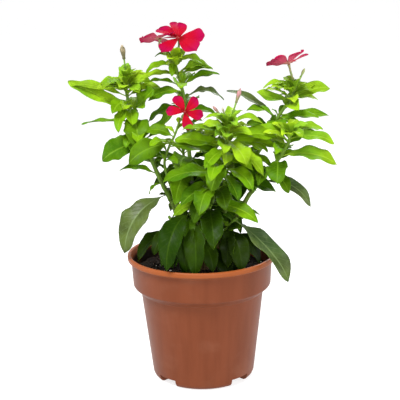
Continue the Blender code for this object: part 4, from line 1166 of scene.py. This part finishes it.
def fine_pot(materials):
    """The pot, with the gaps between its feet and its drain holes cut through."""
    points, faces = lathe(rounded(pot_profile(), POT_ROUNDING), POT_SIDES)
    mesh = bpy.data.meshes.new("pot_shell")
    mesh.from_pydata([tuple(p) for p in points], [], faces)
    made = put("pot_shell", mesh)
    cutters = []
    for number in range(FOOT_COUNT):
        angle = math.radians(FOOT_TURN) + math.tau * (number + 0.5) / FOOT_COUNT
        out = round_about(angle)
        cutters.append(foot_gap(out * FOOT_RADIUS, angle))
        cutters.append(drain_hole(out * DRAIN_CIRCLE + Vector((0, 0, FOOT_HEIGHT))))
    for shape in cutters:
        cut_mesh = bpy.data.meshes.new("cutter")
        shape.to_mesh(cut_mesh)
        shape.free()
        cutter = put("cutter", cut_mesh)
        cut = made.modifiers.new("cut", "BOOLEAN")
        cut.operation, cut.solver, cut.object = "DIFFERENCE", "EXACT", cutter
        view = bpy.context.evaluated_depsgraph_get()
        result = bpy.data.meshes.new_from_object(made.evaluated_get(view))
        made.modifiers.clear()
        made.data = result
        bpy.data.objects.remove(cutter, do_unlink=True)
    result.name = "pot_shell"
    result.transform(Matrix.Scale(MM, 4))
    result.materials.clear()
    result.materials.append(materials["pot"])
    result.shade_smooth()
    result.set_sharp_from_angle(angle=math.radians(40))
    return settled(made, ["pot"])


def on_soil(angle, radius, lift=0.0):
    """A point on the compost's uneven surface, or as far above it as lift."""
    x, y = radius * math.cos(angle), radius * math.sin(angle)
    bumps = 1.1 * noise.noise(Vector((x, y, 0)) * 0.16) + 0.8 * noise.noise(Vector((x, y, 9)) * 0.5)
    height = SOIL_LEVEL - 0.6 - SOIL_EDGE_DROP * min(math.hypot(x, y) / SOIL_RADIUS, 1.0) ** 2 + bumps
    return Vector((x, y, height + lift))


def fine_compost(materials):
    """The compost's uneven surface, with its crumbs, bits of fibre and perlite."""
    rings = []
    skirt = ((COLLAR_FOOT_RADIUS, COLLAR_FOOT + 0.9), (BODY_TOP_RADIUS, SHOULDER_FOOT + 0.2),
             (BODY_FOOT_RADIUS, FOOT_HEIGHT + FLOOR_THICKNESS + 2.5))
    for radius in (0.4, *[2.0 * step for step in range(1, 30)], SOIL_RADIUS):
        rings.append([on_soil(math.tau * j / SOIL_SIDES, radius) for j in range(SOIL_SIDES)])
    edge = rings[-1]
    for radius, height in skirt:
        share = (radius - WALL - 0.6) / SOIL_RADIUS
        rings.append([Vector((p.x * share, p.y * share, height)) for p in edge])
    surface = Sheaf()
    across = [j / SOIL_SIDES for j in range(SOIL_SIDES + 1)]
    surface.loft(rings, "soil", across, [i / len(rings) for i in range(len(rings))])
    surface.piece("compost_surface", ["compost"], materials, "compost")

    draw = random.Random(3)
    bits = Sheaf()
    for number in range(CRUMBS):
        out, angle = SOIL_RADIUS * 0.975 * math.sqrt(draw.random()), draw.uniform(0, math.tau)
        ground = on_soil(angle, out)
        if math.hypot(ground.x - STEM_PATH[0][0], ground.y - STEM_PATH[0][1]) < STEM_CLEAR:
            continue
        kind = "perlite" if number % 44 == 0 else "fibre" if number % 17 == 0 else "crumb"
        size = draw.uniform(0.5, 1.1) * (1.5 if number % 5 == 0 else 1.0)
        if kind == "perlite":
            size = draw.uniform(0.8, 1.7)
        stretch = Vector((1, draw.uniform(0.6, 1.0), draw.uniform(0.5, 0.9)))
        if kind == "fibre":
            stretch, size = Vector((draw.uniform(3, 6), 0.4, 0.35)), draw.uniform(0.6, 0.9)
        shape = bmesh.new()
        bmesh.ops.create_icosphere(shape, subdivisions=1, radius=1.0)
        spin = Matrix.Rotation(draw.uniform(0, math.tau), 3, "Z")
        spin = spin @ Matrix.Rotation(draw.uniform(-0.4, 0.4), 3, "X")
        points = []
        for vertex in shape.verts:
            place = vertex.co * (1 + 0.35 * noise.noise(vertex.co * 1.7 + Vector((number, 0, 0))))
            place = Vector((place.x * stretch.x, place.y * stretch.y, place.z * stretch.z)) * size
            points.append(spin @ place + on_soil(angle, out, 0.25 * size))
        bits.solid(points, [tuple(v.index for v in face.verts) for face in shape.faces], kind)
        shape.free()
    bits.piece("compost_bits", ["compost"], materials, "compost")


# The plant


def shoot_line(shoot, steps):
    """A shoot's path, from the stem itself if no bough leads to it."""
    height, bends = FORKS[shoot.name]
    if bends is not None:
        return smooth_path(shoot.path, steps)
    start, _ = at_height(smooth_path(STEM_PATH, 3), height)
    return smooth_path([start, *shoot.path], steps)


def fine_shoot(shoot, grown_leaves, taken, materials):
    """A shoot's leaves, its twig and its blossom, each as a piece."""
    node = "foliage_" + shoot.name
    draw = random.Random(shoot.seed * 7 + 1)
    coarse, line = shoot_line(shoot, 2), shoot_line(shoot, FINE_STEPS)
    pieces = {"leaves": Sheaf(), "twigs": Sheaf(), "blossom": Sheaf()}
    for base, leaf in grown_leaves + added_leaves(shoot, coarse, taken, draw):
        fine_leaf(pieces["leaves"], base, leaf, tone_of(shoot, leaf, coarse), draw)
    radius = jointed(*shoot.radii, length_of(line), TWIG_JOINTS)
    limb(pieces["twigs"], line, radius, TWIG_SIDES, "twig", rough=0.06)
    for bud in shoot.buds:
        fine_bud(pieces["blossom"], bud, coarse, draw)
    for flower in shoot.flowers:
        fine_flower(pieces["blossom"], flower, coarse, draw)
    for kind, sheaf in pieces.items():
        if sheaf.points:
            sheaf.piece(f"{kind}_{shoot.name}", [node], materials, node)


def fine_limbs(materials):
    stem = Sheaf()
    path = smooth_path(STEM_PATH, FINE_STEPS)
    path = [path[0] - Vector((0, 0, STEM_SUNK))] + path
    limb(stem, path, lambda t: read_at(STEM_RADII, t), LIMB_SIDES, "bark", rough=0.16)
    stem.piece("stem_main", ["main_stem"], materials, "main_stem")
    for shoot in SHOOTS:
        if FORKS[shoot.name][1] is not None:
            sheaf = Sheaf()
            path = bough_path(shoot, FINE_STEPS)
            radius = jointed(BOUGH_FOOT_RADIUS, shoot.radii[0], length_of(path), BOUGH_JOINTS)
            limb(sheaf, path, radius, TWIG_SIDES + 2, "bark", rough=0.10)
            node = "bough_" + shoot.name
            sheaf.piece("stem_" + node, [node], materials, node)


# Studio


FLOOR_REACH = 30.0  # metres
# Name, place, target, size in metres and watts
LIGHTS = (
    ("key", (-0.45, -0.65, 1.35), (0, 0, 0.18), 0.5, 29.0),
    ("fill", (0.35, -1.3, 0.45), (0, 0, 0.19), 0.8, 12.5),
    ("left", (-1.2, -0.1, 0.40), (0, 0, 0.15), 0.8, 5.0),
    ("right", (1.2, -0.1, 0.40), (0, 0, 0.15), 0.8, 6.0),
    ("back", (0.35, 1.0, 1.0), (0, 0, 0.2), 0.6, 11.0),
)


def area_light(name, place, target, size, watts):
    lamp = bpy.data.lights.new(name, "AREA")
    lamp.shape, lamp.size, lamp.energy = "DISK", size, watts
    made = put(name, lamp)
    made.location = place
    made.rotation_euler = (Vector(target) - Vector(place)).to_track_quat("-Z", "Y").to_euler()


def studio():
    scene = bpy.context.scene
    scene.view_settings.view_transform = "Standard"
    world = bpy.data.worlds.new("studio")
    world.use_nodes = True
    tree = world.node_tree
    shade = tree.nodes["Background"]
    shade.inputs["Color"].default_value = (1.0, 1.0, 1.0, 1.0)
    upward = parts_of(tree, added(tree, "TexCoord").outputs["Generated"])[2]
    tree.links.new(ranged(tree, upward, 0.02, 0.60, 1.0, 0.60), shade.inputs["Strength"])
    scene.world = world
    for light in LIGHTS:
        area_light(*light)
    floor_mesh = bpy.data.meshes.new("floor")
    corners = [(x * FLOOR_REACH, y * FLOOR_REACH, -0.0004) for x, y in ((-1, -1), (1, -1), (1, 1), (-1, 1))]
    floor_mesh.from_pydata(corners, [], [(0, 1, 2, 3)])
    made = put("floor", floor_mesh)
    pale, paper = started("floor_paper", 0.9, 0.1)
    shader = paper.nodes["Principled BSDF"]
    shader.inputs["Base Color"].default_value = (0.34, 0.34, 0.34, 1.0)
    shader.inputs["Emission Color"].default_value = (1.0, 1.0, 1.0, 1.0)
    shader.inputs["Emission Strength"].default_value = 0.76
    floor_mesh.materials.append(pale)

    camera = bpy.data.cameras.new("camera")
    camera.sensor_width = SENSOR
    camera.lens = FOCAL_PIXELS / PICTURE * SENSOR
    camera.shift_x = -0.5 / PICTURE
    camera.clip_start, camera.clip_end = 0.05, 50.0
    held = put("camera", camera)
    held.matrix_world = CAMERA
    scene.camera = held


def main():
    materials = all_materials()
    studio()
    fine_pot(materials)
    fine_compost(materials)
    fine_limbs(materials)
    crown = {shoot.name: grown(shoot, shoot_line(shoot, 2)) for shoot in SHOOTS}
    points = [point for leaves in crown.values() for leaf in leaves for point in sample_points(*leaf)[1:]]
    taken = search_tree(points)
    for shoot in SHOOTS:
        fine_shoot(shoot, crown[shoot.name], taken, materials)


main()
